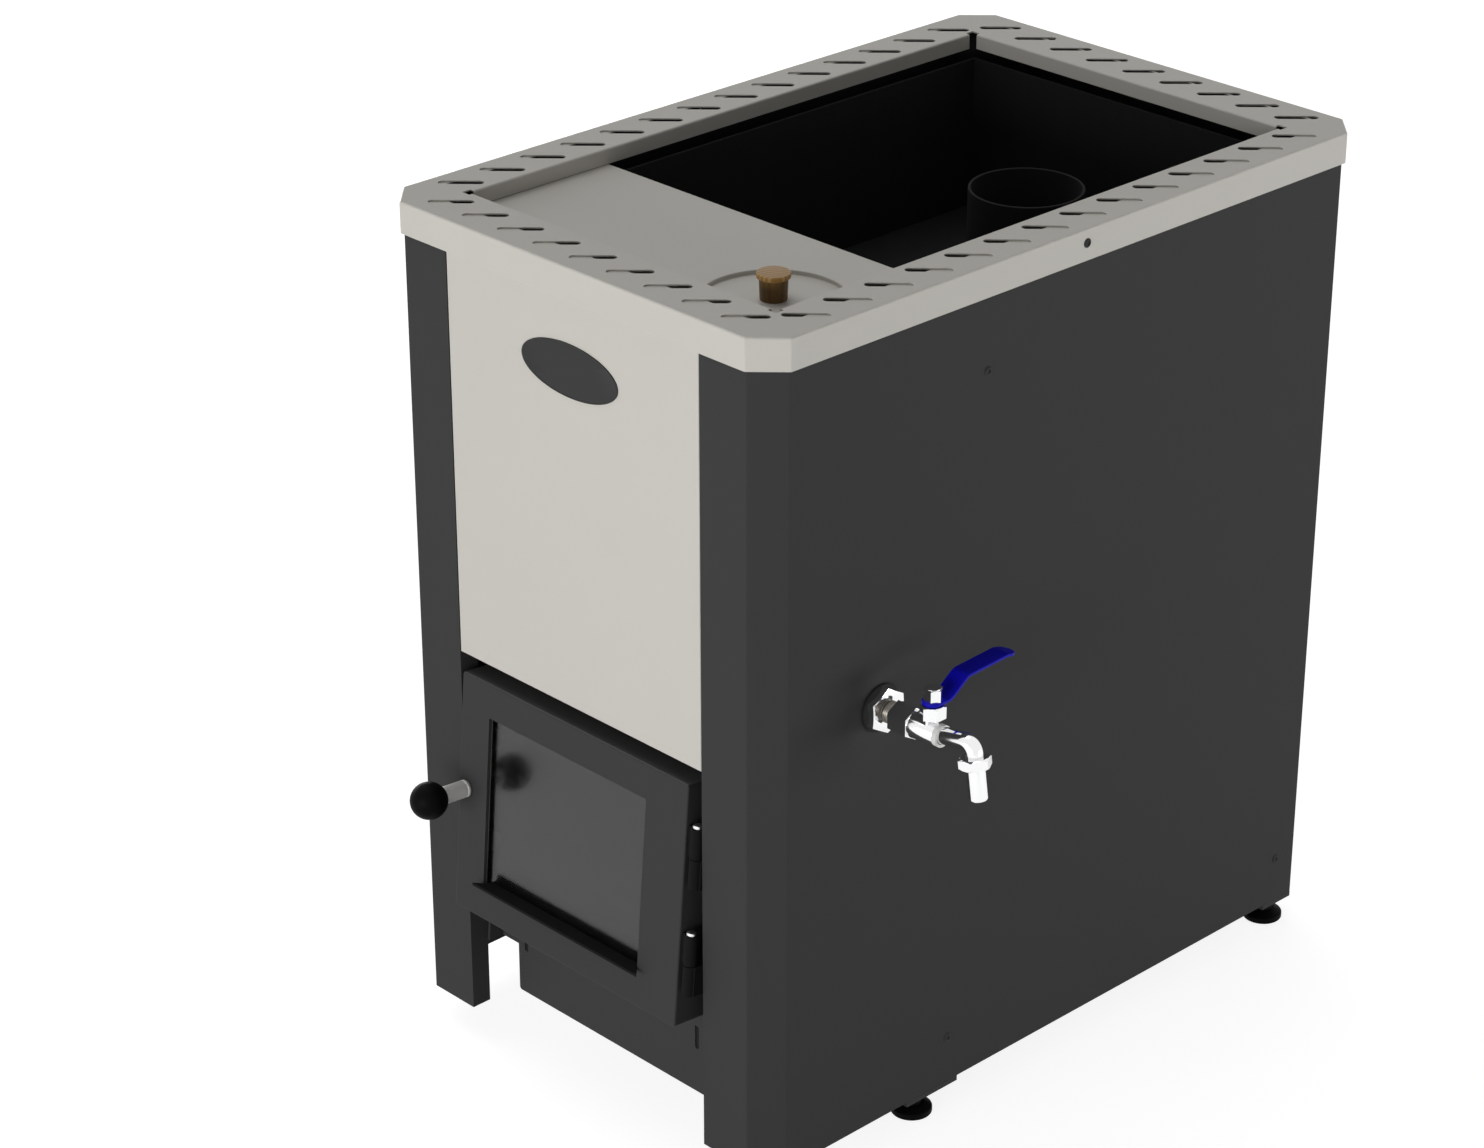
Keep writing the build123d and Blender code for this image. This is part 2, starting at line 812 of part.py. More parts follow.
def tank_cover():
    """Pale cover over the tank, with a round well and the filling hole."""
    z0 = cover_top - cover_sheet
    x0 = -body_half
    x1 = rim_half_opening + cover_side_lap
    y0 = rim_opening_front - cover_front_lap
    y1 = bay_rear
    outer = block(x0, x1, y0, y1, cover_top - cover_lip, cover_top)
    outer = fillet(outer.faces().sort_by(Axis.Z)[-1].edges(), cover_fold)
    lip = cover_sheet
    inner = block(x0 + lip, x1 - lip, y0 + lip, y1 - lip, cover_top - cover_lip - 1, z0)
    sheet = outer - inner
    sheet -= rod((lid_x, lid_y, well_floor), (0, 0, 1), well_radius, 2 * well_depth)
    well = tube(
        (lid_x, lid_y, well_floor - cover_sheet), (0, 0, 1),
        well_radius, well_radius - cover_sheet, well_depth + cover_sheet,
    )
    floor = rod((lid_x, lid_y, well_floor - cover_sheet), (0, 0, 1), well_radius, cover_sheet)
    sheet += well + floor
    mouth = edges_at(sheet.edges().filter_by(GeomType.CIRCLE), Axis.Z, cover_top)
    sheet = fillet([e for e in mouth if e.radius > lid_radius], cover_fold)
    hole = rod(
        (lid_x, lid_y, well_floor - 2 * cover_sheet), (0, 0, 1), lid_hole_radius, 4 * cover_sheet,
    )
    return sheet - hole


def tank_lid():
    """Round lid with a locating ring under it."""
    z0 = well_floor + rest_gap
    disc = rod((lid_x, lid_y, z0), (0, 0, 1), lid_radius, lid_sheet)
    disc = fillet(disc.faces().sort_by(Axis.Z)[-1].edges(), lid_round)
    ring = tube(
        (lid_x, lid_y, z0 - lid_ring_depth), (0, 0, 1),
        lid_ring_radius, lid_ring_radius - lid_ring_wall, lid_ring_depth + lid_sheet / 2,
    )
    hole = rod((lid_x, lid_y, z0 - 1), (0, 0, 1), knob_screw_radius + thread_gap, lid_sheet + 2)
    return disc + ring - hole


def lid_knob():
    """Turned wooden knob, narrow in the middle and flared at the top."""
    z0 = well_floor + rest_gap + lid_sheet
    base = knob_base_radius
    top = knob_top_radius
    line = Polyline((0, 0), (base, 0), (base, 2))
    side = Spline((base, 2), (knob_waist_radius + 0.6, 0.45 * knob_height), (top, knob_height - 4))
    rim = Polyline((top, knob_height - 4), (top, knob_height - 1.5), (top - 1.5, knob_height),
                   (0, knob_height), (0, 0))
    profile = make_face(line + side + rim)
    turned = revolve(Plane.XZ * profile, Axis.Z)
    bore = rod((0, 0, 0), (0, 0, 1), knob_screw_radius + thread_gap, knob_screw_depth + 1)
    return Pos(lid_x, lid_y, z0) * (turned - bore)


def lid_knob_screw():
    """Screw that holds the knob from under the lid."""
    z0 = well_floor + rest_gap
    head = rod((lid_x, lid_y, z0 - 3), (0, 0, 1), 2 * knob_screw_radius, 3)
    shank = rod((lid_x, lid_y, z0 - 1), (0, 0, 1), knob_screw_radius, lid_sheet + knob_screw_depth)
    return head + shank


def outlet_gasket():
    """Rubber ring against the casing."""
    start = (casing_half, tap_y, tap_z)
    ring = tube(start, (1, 0, 0), gasket_radius, nipple_radius + thread_gap, gasket_thickness)
    return ring


def outlet_locknut():
    """Hexagon nut that holds the nipple against the gasket."""
    start = (casing_half + gasket_thickness, tap_y, tap_z)
    return hex_nut(start, (1, 0, 0), locknut_flats, locknut_thickness, nipple_radius + thread_gap,
                   x_dir=(0, 0, 1))


def tap_nipple():
    """Pipe from the tank's socket to the tap."""
    x0 = tank_half - tank_wall
    x1 = casing_half + nipple_reach
    return tube((x0, tap_y, tap_z), (1, 0, 0), nipple_radius, nipple_bore, x1 - x0)


def tap_body():
    """Body of the ball tap, with its ball chamber and neck."""
    hex_start = casing_half + nipple_reach - tap_hex_length
    x0 = tap_x - tap_half_length
    x1 = tap_x + tap_half_length
    barrel = rod((x0, tap_y, tap_z), (1, 0, 0), tap_barrel_radius, x1 - x0)
    barrel = fillet(barrel.edges().filter_by(GeomType.CIRCLE), tap_barrel_round)
    barrel += hexagon((hex_start, tap_y, tap_z), (1, 0, 0), tap_hex_flats,
                      x0 + tap_hex_lap - hex_start, x_dir=(0, 0, 1))
    barrel += rod((tap_x, tap_y, tap_z), (0, 0, 1), neck_radius, tap_barrel_radius + neck_height / 2)
    chamber = ball_radius + ball_gap
    nipple_end = casing_half + nipple_reach
    barrel -= rod((hex_start - 1, tap_y, tap_z), (1, 0, 0), nipple_radius + thread_gap,
                  nipple_end - hex_start + 1)
    barrel -= rod((nipple_end - 1, tap_y, tap_z), (1, 0, 0), ball_bore + 1, x1 - nipple_end + 2)
    seat_reach = ball_radius + seat_thickness
    barrel -= rod((tap_x - seat_reach, tap_y, tap_z), (1, 0, 0), chamber, 2 * seat_reach)
    barrel -= rod((x1 - spout_socket_depth, tap_y, tap_z), (1, 0, 0), spout_radius + thread_gap,
                  2 * spout_socket_depth)
    barrel -= rod((tap_x, tap_y, tap_z), (0, 0, 1), stem_radius + 1, 2 * tap_barrel_radius)
    return barrel


def ball_seats():
    """Two sealing rings, one on each side of the ball."""
    shapes = []
    for side in (-1, 1):
        near = ball_bore + 1.5
        outer = ball_radius + ball_gap - thread_gap
        start = (tap_x + side * (ball_radius + seat_thickness - thread_gap), tap_y, tap_z)
        ring = tube(start, (-side, 0, 0), outer, near, seat_thickness + 2)
        shapes.append(ring - Pos(tap_x, tap_y, tap_z) * Sphere(ball_radius + thread_gap))
    return shapes


def tap_ball():
    """Ball with a bore, which lies across the flow while the tap is shut."""
    ball = Sphere(ball_radius) - Cylinder(ball_bore, 3 * ball_radius, rotation=(90, 0, 0))
    slot = block(-ball_slot_half, ball_slot_half, -ball_radius, ball_radius,
                 ball_radius - ball_slot_depth, ball_radius + 1)
    return Pos(tap_x, tap_y, tap_z) * (ball - slot)


def tap_stem():
    """Stem from the ball up through the bonnet to the lever."""
    z0 = tap_z + ball_radius - ball_slot_depth + ball_gap
    foot = ball_radius + ball_gap + tongue_gap
    top = lever_base + lever_thickness + lever_nut_height - cap_end
    stem = rod((tap_x, tap_y, tap_z + foot), (0, 0, 1), stem_radius, top - foot)
    half = ball_slot_half - tongue_gap
    tongue = block(tap_x - half, tap_x + half, tap_y - stem_radius, tap_y + stem_radius,
                   z0, tap_z + foot + tongue_gap)
    return stem + tongue


def tap_bonnet():
    """Packing nut on the tap's neck."""
    base = tap_z + tap_barrel_radius + neck_height / 2
    start = (tap_x, tap_y, base + weld_gap)
    return hex_nut(start, (0, 0, 1), bonnet_flats, tap_z + bonnet_top - start[2],
                   stem_radius + stem_gap)


def tap_lever():
    """Flat lever with two smooth bends and rounded ends."""
    middle = lever_thickness / 2
    points = [(-lever_tail, middle), (lever_ramp_start, middle),
              (lever_ramp_start + lever_ramp_run, middle + lever_rise),
              (lever_length, middle + lever_rise - lever_droop)]
    path = Plane.YZ * FilletPolyline(*points, radius=lever_bend)
    section = Plane(origin=path @ 0, z_dir=path % 0, x_dir=(1, 0, 0))
    bar = sweep(section * Rectangle(lever_width, lever_thickness), path=path)
    plan = Pos(0, (lever_length - lever_tail) / 2) * Rectangle(lever_width, lever_length + lever_tail)
    plan = fillet(plan.vertices(), lever_end_round)
    bar &= upright(extrude(plan, 3 * lever_rise), -lever_rise)
    bore = rod((0, 0, -1), (0, 0, 1), stem_radius + thread_gap, 3 * lever_thickness)
    return Pos(tap_x, tap_y, tap_z + lever_base) * (bar - bore)


def lever_nut():
    """Nut that holds the lever on the stem."""
    start = (tap_x, tap_y, tap_z + lever_base + lever_thickness)
    cap = hex_nut(start, (0, 0, 1), lever_nut_flats, lever_nut_height, stem_radius + thread_gap)
    end = (tap_x, tap_y, start[2] + lever_nut_height - cap_end + thread_gap)
    return cap + rod(end, (0, 0, 1), 2 * stem_radius - 1, cap_end - thread_gap)


def spout_path():
    """Centre line of the spout, from the tap's body round its bend and down."""
    start = tap_x + tap_half_length - spout_insert
    drop = casing_half + spout_drop_reach
    run = Line((start, tap_y, tap_z), (drop - spout_bend, tap_y, tap_z))
    bend_centre = (drop - spout_bend, tap_y, tap_z - spout_bend)
    lean_point = (
        bend_centre[0] + spout_bend * sin(pi / 4), tap_y, bend_centre[2] + spout_bend * cos(pi / 4),
    )
    end = (drop, tap_y, tap_z - spout_bend)
    arc = ThreePointArc(run @ 1, lean_point, end)
    tail = Line(end, (drop, tap_y, collar_top - spout_seat))
    return Wire([run, arc, tail])


def tap_spout():
    """Bent outlet tube of the tap."""
    path = spout_path()
    plane = Plane(origin=path @ 0, z_dir=path % 0)
    solid = sweep(plane * Circle(spout_radius), path=path)
    hollow = sweep(plane * Circle(spout_bore), path=path)
    return solid - hollow


def hex_nut(start, direction, flats, length, bore, x_dir=None, both_ends=False):
    """Hexagon nut whose corners are turned down to a cone at its free end."""
    nut = hexagon(start, direction, flats, length, x_dir)
    across = flats / cos(pi / 6)
    cone = rod(start, direction, across / 2, length)
    ends = cone.edges().filter_by(GeomType.CIRCLE).sort_by_distance(start)
    turned = ends if both_ends else ends[-1:]
    cone = chamfer(turned, nut_chamfer_share * (across - flats), nut_chamfer_share * across / 2)
    return (nut & cone) - rod(start, direction, bore, length)


def spout_collar():
    """Union nut between the spout and the hose nozzle."""
    drop = casing_half + spout_drop_reach
    start = (drop, tap_y, collar_top - collar_height)
    nut = hex_nut(start, (0, 0, 1), collar_flats, collar_height, nozzle_bore, both_ends=True)
    seat = rod((drop, tap_y, collar_top - spout_seat), (0, 0, 1), spout_radius + thread_gap,
               2 * spout_seat)
    neck_start = (drop, tap_y, start[2] - nozzle_neck_length)
    neck = rod(neck_start, (0, 0, 1), nozzle_neck_radius + thread_gap, 2 * nozzle_neck_length)
    return nut - seat - neck


def hose_nozzle():
    """Plain nozzle that a hose pushes onto."""
    drop = casing_half + spout_drop_reach
    collar_bottom = collar_top - collar_height
    top = collar_bottom + nozzle_neck_length
    shoulder = collar_bottom - nozzle_start_gap
    bottom = tap_z - nozzle_drop
    nozzle = rod((drop, tap_y, bottom), (0, 0, 1), nozzle_radius, shoulder - bottom)
    nozzle = chamfer(nozzle.faces().sort_by(Axis.Z)[0].edges(), 1.0)
    nozzle += rod((drop, tap_y, bottom + 1), (0, 0, 1), nozzle_neck_radius, top - bottom - 1)
    return nozzle - rod((drop, tap_y, bottom - 1), (0, 0, 1), nozzle_bore, top - bottom + 2)


# Door in its own frame

def door_pan():
    """Folded door with its window opening, open at the back."""
    bottom = -door_height
    outer = block(door_left, door_right, 0, door_depth, bottom, 0)
    outer = fillet(outer.edges().filter_by(Axis.Y), door_corner)
    outer = fillet(outer.faces().sort_by(Axis.Y)[0].edges(), door_edge_round)
    wall = door_wall
    inner = block(
        door_left + wall, door_right - wall, door_plate, door_depth + 1, bottom + wall, -wall,
    )
    window = block(
        window_left, window_right, -1, door_plate + 1, door_z(window_bottom), door_z(window_top),
    )
    window = fillet(window.edges().filter_by(Axis.Y), window_corner)
    z = door_z(handle_z)
    bore = rod((handle_x, -1, z), (0, 1, 0), bush_radius + weld_gap, door_plate + 2)
    return at_door(outer - inner - window - bore)


def glass_gasket():
    """Flat seal between the door's plate and its glass."""
    lap = glass_lap - 2
    z0 = door_z(window_bottom) - 1
    z1 = door_z(window_top)
    y0 = door_plate
    y1 = y0 + glass_gasket_thickness - glass_gap
    outer = block(window_left - lap, window_right + lap, y0, y1, z0 - lap, z1 + lap)
    inner = block(window_left - 1, window_right + 1, y0 - 1, y1 + 1, z0, z1 + 1)
    return at_door(outer - inner)


def glass_box():
    """Edges of the glass: x0, x1, z0, z1 in the door's frame."""
    z0 = door_z(window_bottom) - 1
    return (window_left - glass_lap, window_right + glass_lap, z0, door_z(window_top) + glass_lap)


def door_glass():
    """Heat-resistant pane behind the window."""
    x0, x1, z0, z1 = glass_box()
    pane = block(x0, x1, glass_front, glass_back, z0, z1)
    return at_door(chamfer(pane.edges(), 0.5))


def glass_rail():
    """Dark angle that carries the lower edge of the glass and shows above the window's edge."""
    x0, x1, z0, z1 = glass_box()
    half_gap = glass_gap
    under = block(x0, x1, door_plate, glass_back + half_gap + rail_thickness,
                  z0 - half_gap - rail_thickness, z0 - half_gap)
    rear = block(x0, x1, glass_back + half_gap, glass_back + half_gap + rail_thickness,
                 z0 - half_gap, z0 + glass_foot_rise)
    under -= block(x0 - 1, x1 + 1, door_plate - 1, door_plate + glass_gasket_thickness,
                   z0 - glass_lap, z0 + 1)
    return at_door(under + rear)


def clip_places():
    """X, outward side and Z of the glass clips in the door's frame."""
    middle = (door_z(window_bottom) + door_z(window_top)) / 2
    places = []
    for x, side in ((window_left, -1), (window_right, 1)):
        for rise in (-clip_spread, clip_spread):
            places.append((x + side * clip_offset, side, middle + rise))
    return places


def glass_clips():
    """Cranked clips that hold the glass against its seal."""
    shapes = []
    for x, side, z in clip_places():
        z0 = z - clip_width / 2
        z1 = z + clip_width / 2
        stand = stud_length - stud_nut_height + door_plate - clip_sheet
        edge = x - side * (clip_offset - glass_lap - clip_sheet - 1)
        toe = edge - side * (clip_foot + clip_sheet)
        foot_y = glass_back + glass_gap
        foot = block(*sorted((edge, toe)), foot_y, foot_y + clip_sheet, z0, z1)
        riser = block(*sorted((edge, edge - side * clip_sheet)), foot_y, stand + clip_sheet, z0, z1)
        head = block(*sorted((edge - side * clip_sheet, x + side * (stud_radius + 3))),
                     stand, stand + clip_sheet, z0, z1)
        hole = rod((x, stand - 1, z), (0, 1, 0), stud_radius + thread_gap, clip_sheet + 2)
        shapes.append(at_door(foot + riser + head - hole))
    return shapes


def clip_studs():
    """Studs welded on the door's plate, for the glass clips."""
    shapes = []
    for x, side, z in clip_places():
        shapes.append(at_door(rod((x, door_plate, z), (0, 1, 0), stud_radius, stud_length)))
    return shapes


def clip_nuts():
    """Domed nuts on the studs."""
    shapes = []
    y0 = door_plate + stud_length - stud_nut_height
    for x, side, z in clip_places():
        nut = rod((x, y0, z), (0, 1, 0), stud_nut_radius, stud_nut_height + stud_nut_cap)
        nut = chamfer(nut.faces().sort_by(Axis.Y)[-1].edges(), stud_nut_round)
        nut -= rod((x, y0, z), (0, 1, 0), stud_radius + thread_gap, stud_nut_height + thread_gap)
        shapes.append(at_door(nut))
    return shapes


def handle_bush():
    """Bush welded in the door's plate, in which the handle's shaft turns."""
    z = door_z(handle_z)
    bush = tube((handle_x, 0, z), (0, 1, 0), bush_radius, shaft_radius + shaft_gap, bush_length)
    return at_door(bush)


def handle_shaft():
    """Shaft from the knob through the door to the latch."""
    start = -handle_ball_reach + handle_ball_radius / 2
    end = latch_depth + latch_thickness + 2
    shaft = rod((handle_x, start, door_z(handle_z)), (0, 1, 0), shaft_radius, end - start)
    return at_door(chamfer(shaft.edges().filter_by(GeomType.CIRCLE), 0.6))


def handle_sleeve():
    """Bright sleeve between the door and the knob."""
    start = -handle_ball_reach + handle_ball_radius - 2
    z = door_z(handle_z)
    sleeve = tube((handle_x, start, z), (0, 1, 0), sleeve_radius, shaft_radius + thread_gap,
                  -start - sleeve_gap)
    return at_door(sleeve - Pos(handle_x, -handle_ball_reach, z) * Sphere(handle_ball_radius + 0.1))


def handle_ball():
    """Black ball knob."""
    z = door_z(handle_z)
    ball = Pos(handle_x, -handle_ball_reach, z) * Sphere(handle_ball_radius)
    bore_start = -handle_ball_reach + handle_ball_radius / 2 - 1
    ball -= rod((handle_x, bore_start, z), (0, 1, 0), shaft_radius + thread_gap, handle_ball_radius)
    return at_door(ball)


def shaft_collar():
    """Ring that keeps the shaft in its bush, seen through the glass."""
    start = bush_length + sleeve_gap
    ring = tube((handle_x, start, door_z(handle_z)), (0, 1, 0), shaft_collar_radius,
                shaft_radius + thread_gap, shaft_collar_length)
    return at_door(ring)


def latch_arm():
    """Flat arm that points into the mouth when free and turns down behind the frame."""
    z = door_z(handle_z)
    hub = rod((handle_x, latch_depth, z), (0, 1, 0), latch_hub_radius, latch_thickness)
    arm = block(handle_x, handle_x + latch_length, latch_depth, latch_depth + latch_thickness,
                z - latch_width / 2, z + latch_width / 2)
    tip = arm.edges().filter_by(Axis.Y).group_by(Axis.X)[-1]
    arm = fillet(tip, latch_width / 2 - 0.5)
    bore = rod((handle_x, latch_depth - 1, z), (0, 1, 0), shaft_radius + thread_gap,
               latch_thickness + 2)
    return at_door(hub + arm - bore)


# Frame round the mouth of the fire

def door_frame():
    """Welded frame: a leaning plate, two cheeks, a roof and a sill."""
    half = frame_half_width
    face = block(-half, half, frame_depth, frame_depth + frame_plate,
                 door_z(firebox_floor_top), door_z(frame_top))
    mouth = block(mouth_left, mouth_right, frame_depth - 1, frame_depth + frame_plate + 1,
                  door_z(mouth_bottom), door_z(mouth_top))
    slot_left = handle_x - latch_hub_radius - latch_slot_gap
    slot_half = latch_hub_radius + latch_slot_gap
    slot = block(slot_left, mouth_left + 1, frame_depth - 1, frame_depth + frame_plate + 1,
                 door_z(handle_z) - slot_half, door_z(handle_z) + slot_half)
    body = at_door(face - mouth - slot)
    back = body_front - weld_gap
    behind = frame_depth + frame_plate
    side_view = [
        (door_face_y(behind, cheek_bottom), cheek_bottom),
        (door_face_y(behind, frame_top), frame_top),
        (back, frame_top),
        (back, cheek_bottom),
    ]
    for x in (-half, half - frame_sheet):
        outline = make_face(Polyline(*side_view, close=True))
        body += Pos(x, 0, 0) * extrude(Plane.YZ * outline, frame_sheet)
    roof = block(-half, half, door_face_y(behind, frame_top) - frame_sheet, back,
                 frame_top - frame_sheet, frame_top)
    sill_top = firebox_floor_top
    sill = block(-half, half, door_face_y(behind, sill_top) - 1, back,
                 sill_top - frame_sheet, sill_top)
    return body + roof + sill


def lower_front_plate():
    """Fixed plate under the door, open for the ash tray."""
    half = frame_half_width - frame_sheet - weld_gap
    top = firebox_floor_top - frame_sheet - weld_gap
    y0 = lower_plate_front
    sheet = block(-half, half, y0, y0 + lower_plate_sheet, cheek_bottom, top)
    hole = tray_half_width + drawer_hole_gap
    return sheet - block(-hole, hole, y0 - 1, y0 + 3, cheek_bottom - 1, lower_plate_hole_top)


def hinge_brackets():
    """Lower knuckle of each hinge on a bracket from the frame."""
    shapes = []
    for top in hinge_tops:
        z1 = door_z(top) - pin_head_height - knuckle_height - knuckle_gap
        z0 = z1 - knuckle_height
        knuckle = rod((hinge_x, hinge_depth, z0), (0, 0, 1), knuckle_radius, knuckle_height)
        x1 = frame_half_width
        web = block(x1 - bracket_sheet, x1, hinge_depth, frame_depth, z0, z1)
        bore = rod((hinge_x, hinge_depth, z0 - 1), (0, 0, 1), pin_radius, knuckle_height + 2)
        shapes.append(at_door(knuckle + web - bore))
    return shapes


def door_knuckles():
    """Upper knuckle of each hinge, welded on the door's edge."""
    shapes = []
    for top in hinge_tops:
        z1 = door_z(top) - pin_head_height
        z0 = z1 - knuckle_height
        knuckle = rod((hinge_x, hinge_depth, z0), (0, 0, 1), knuckle_radius, knuckle_height)
        web = block(door_right + weld_gap, hinge_x, hinge_depth - web_half, hinge_depth + web_half,
                    z0, z1)
        bore = rod((hinge_x, hinge_depth, z0 - 1), (0, 0, 1), pin_radius + pin_gap,
                   knuckle_height + 2)
        shapes.append(at_door(knuckle + web - bore))
    return shapes


def hinge_pins():
    """Bright pins with low heads, fixed in the lower knuckles."""
    shapes = []
    for top in hinge_tops:
        z1 = door_z(top)
        length = 2 * knuckle_height + knuckle_gap
        head_z = z1 - pin_head_height + pin_gap
        pin = rod((hinge_x, hinge_depth, z1 - pin_head_height - length), (0, 0, 1), pin_radius,
                  length + 1)
        head = rod((hinge_x, hinge_depth, head_z), (0, 0, 1), pin_head_radius, pin_head_height)
        head = fillet(head.faces().sort_by(Axis.Z)[-1].edges(), 1.2)
        shapes.append(at_door(pin + head))
    return shapes


# Ash drawer

def ash_drawer_front():
    """Front of the ash drawer, with an upright air slot near each end."""
    y0 = drawer_front_y
    half = drawer_half_width
    sheet = block(-half, half, y0, y0 + drawer_sheet, drawer_bottom, drawer_top)
    sheet = fillet(sheet.edges().filter_by(Axis.Y), drawer_corner)
    for side in (-1, 1):
        x = side * air_slot_x
        slot = block(x - air_slot_width / 2, x + air_slot_width / 2, y0 - 1, y0 + 3,
                     air_slot_bottom, air_slot_bottom + air_slot_height)
        sheet -= fillet(slot.edges().filter_by(Axis.Y), air_slot_width / 2 - 0.1)
    return sheet


def ash_tray():
    """Open tray of the ash drawer."""
    y0 = drawer_front_y + drawer_sheet
    half = tray_half_width
    z0 = tray_floor
    wall = tray_wall
    outer = block(-half, half, y0, y0 + tray_length, z0, z0 + tray_height)
    inner = block(-half + wall, half - wall, y0 + wall, y0 + tray_length - wall, z0 + wall,
                  z0 + tray_height + 1)
    return outer - inner


# Base bars and feet

def base_bars():
    """Two cross bars that carry the stove and its casing, with upturned end tabs."""
    shapes = []
    outline = octagon(casing_half, casing_front, casing_rear, casing_chamfer)
    for number, y in enumerate(bar_y):
        y0 = y - bar_width / 2
        band = Pos(0, y) * Rectangle(2 * rim_width, bar_width)
        flat = upright(extrude(outline & band, bar_plate), -bar_plate - bar_rest_gap)
        rib_half = foot_x - foot_nut_flats
        top = channel_bottom - weld_gap
        for rib_y in (y0 + bar_rib, y0 + bar_rib + bar_rib_spacing):
            flat += block(-rib_half, rib_half, rib_y, rib_y + bar_rib, -bar_rest_gap - 1, top)
        screw_y = casing_screw_places()[1 + number][0]
        for side in (-1, 1):
            inside = side * (casing_half - casing_sheet - weld_gap)
            x0, x1 = sorted((inside, inside - side * bar_rib))
            tab = block(x0, x1, screw_y - bar_tab_width / 2, screw_y + bar_tab_width / 2,
                        -bar_rest_gap - 1, bar_tab_top)
            tab -= rod((side * casing_half, screw_y, lower_screw_z), (-side, 0, 0), screw_radius,
                       2 * screw_grip)
            flat += tab
            flat -= rod((side * foot_x, y, -bar_plate - 1), (0, 0, 1),
                        foot_stem_radius + foot_hole_gap, 2 * bar_plate)
        shapes.append(flat)
    return shapes


def foot_places():
    """Name, X and Y of the four feet."""
    return [
        ("front_left", -foot_x, bar_y[0]),
        ("front_right", foot_x, bar_y[0]),
        ("rear_left", -foot_x, bar_y[1]),
        ("rear_right", foot_x, bar_y[1]),
    ]


def foot(x, y):
    """Levelling foot: a round pad with a neck and a threaded stem."""
    floor = -casing_lift
    pad = rod((x, y, floor), (0, 0, 1), foot_pad_radius, foot_pad_height)
    pad = chamfer(pad.faces().sort_by(Axis.Z)[-1].edges(), foot_cone_drop, foot_cone_inset)
    neck = rod((x, y, floor + foot_pad_height), (0, 0, 1), foot_neck_radius, foot_neck_height)
    stem_start = floor + foot_pad_height
    stem = rod((x, y, stem_start), (0, 0, 1), foot_stem_radius, foot_stem_length)
    return pad + neck + chamfer(stem.faces().sort_by(Axis.Z)[-1].edges(), 1.0)


def foot_nuts():
    """Lock nuts of the feet, on top of the bars."""
    shapes = []
    for name, x, y in foot_places():
        start = (x, y, -bar_rest_gap)
        shapes.append(hex_nut(start, (0, 0, 1), foot_nut_flats, foot_nut_height,
                              foot_stem_radius + foot_hole_gap))
    return shapes


def all_nodes():
    """Every sub-part by its name."""
    nodes = {
        "casing_left": casing_side(-1),
        "casing_right": casing_right(),
        "front_panel": front_panel(),
        "back_panel": back_panel(),
        "casing_screws": casing_screws(),
        "casing_spacers": casing_spacers(),
        "top_rim": top_rim(),
        "tank_cover": tank_cover(),
        "tank_lid": tank_lid(),
        "lid_knob": lid_knob(),
        "lid_knob_screw": lid_knob_screw(),
        "water_tank": water_tank(),
        "tank_socket": tank_socket(),
        "outlet_gasket": outlet_gasket(),
        "outlet_locknut": outlet_locknut(),
        "tap_nipple": tap_nipple(),
        "tap_body": tap_body(),
        "ball_seats": ball_seats(),
        "tap_ball": tap_ball(),
        "tap_stem": tap_stem(),
        "tap_bonnet": tap_bonnet(),
        "tap_lever": tap_lever(),
        "lever_nut": lever_nut(),
        "tap_spout": tap_spout(),
        "spout_collar": spout_collar(),
        "hose_nozzle": hose_nozzle(),
        "body_shell": body_shell(),
        "tank_shelf": tank_shelf(),
        "stone_floor": stone_floor(),
        "flue_collar": flue_collar(),
        "firebox_floor": firebox_floor(),
        "grate": grate(),
        "ash_channel": ash_channel(),
        "ash_drawer_front": ash_drawer_front(),
        "ash_tray": ash_tray(),
        "lower_front_plate": lower_front_plate(),
        "door_frame": door_frame(),
        "hinge_brackets": hinge_brackets(),
        "hinge_pins": hinge_pins(),
        "door_pan": door_pan(),
        "door_knuckles": door_knuckles(),
        "door_glass": door_glass(),
        "glass_gasket": glass_gasket(),
        "glass_rail": glass_rail(),
        "glass_clips": glass_clips(),
        "clip_studs": clip_studs(),
        "clip_nuts": clip_nuts(),
        "handle_bush": handle_bush(),
        "handle_shaft": handle_shaft(),
        "handle_sleeve": handle_sleeve(),
        "handle_ball": handle_ball(),
        "shaft_collar": shaft_collar(),
        "latch_arm": latch_arm(),
        "base_bars": base_bars(),
        "foot_nuts": foot_nuts(),
    }
    for name, x, y in foot_places():
        nodes[f"foot_{name}"] = foot(x, y)
    return nodes


def as_compound(shape):
    """One compound of the solids of a shape or of a list of shapes, in the exported frame."""
    shapes = shape if isinstance(shape, list) else [shape]
    solids = [solid for item in shapes for solid in item.solids()]
    return Pos(shift) * Compound(children=[Solid(s.wrapped) for s in solids])


def main():
    """Build every node and write its STEP file."""
    os.makedirs("parts", exist_ok=True)
    for name, shape in all_nodes().items():
        export_step(as_compound(shape), f"parts/{name}.step")


main()
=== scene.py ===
import json
import logging
from collections.abc import Callable, Iterable, Sequence
from dataclasses import dataclass, field
from enum import Enum
from math import cos, pi, radians, sin, sqrt, tan

import bmesh
import bpy
from mathutils import Euler, Matrix, Vector

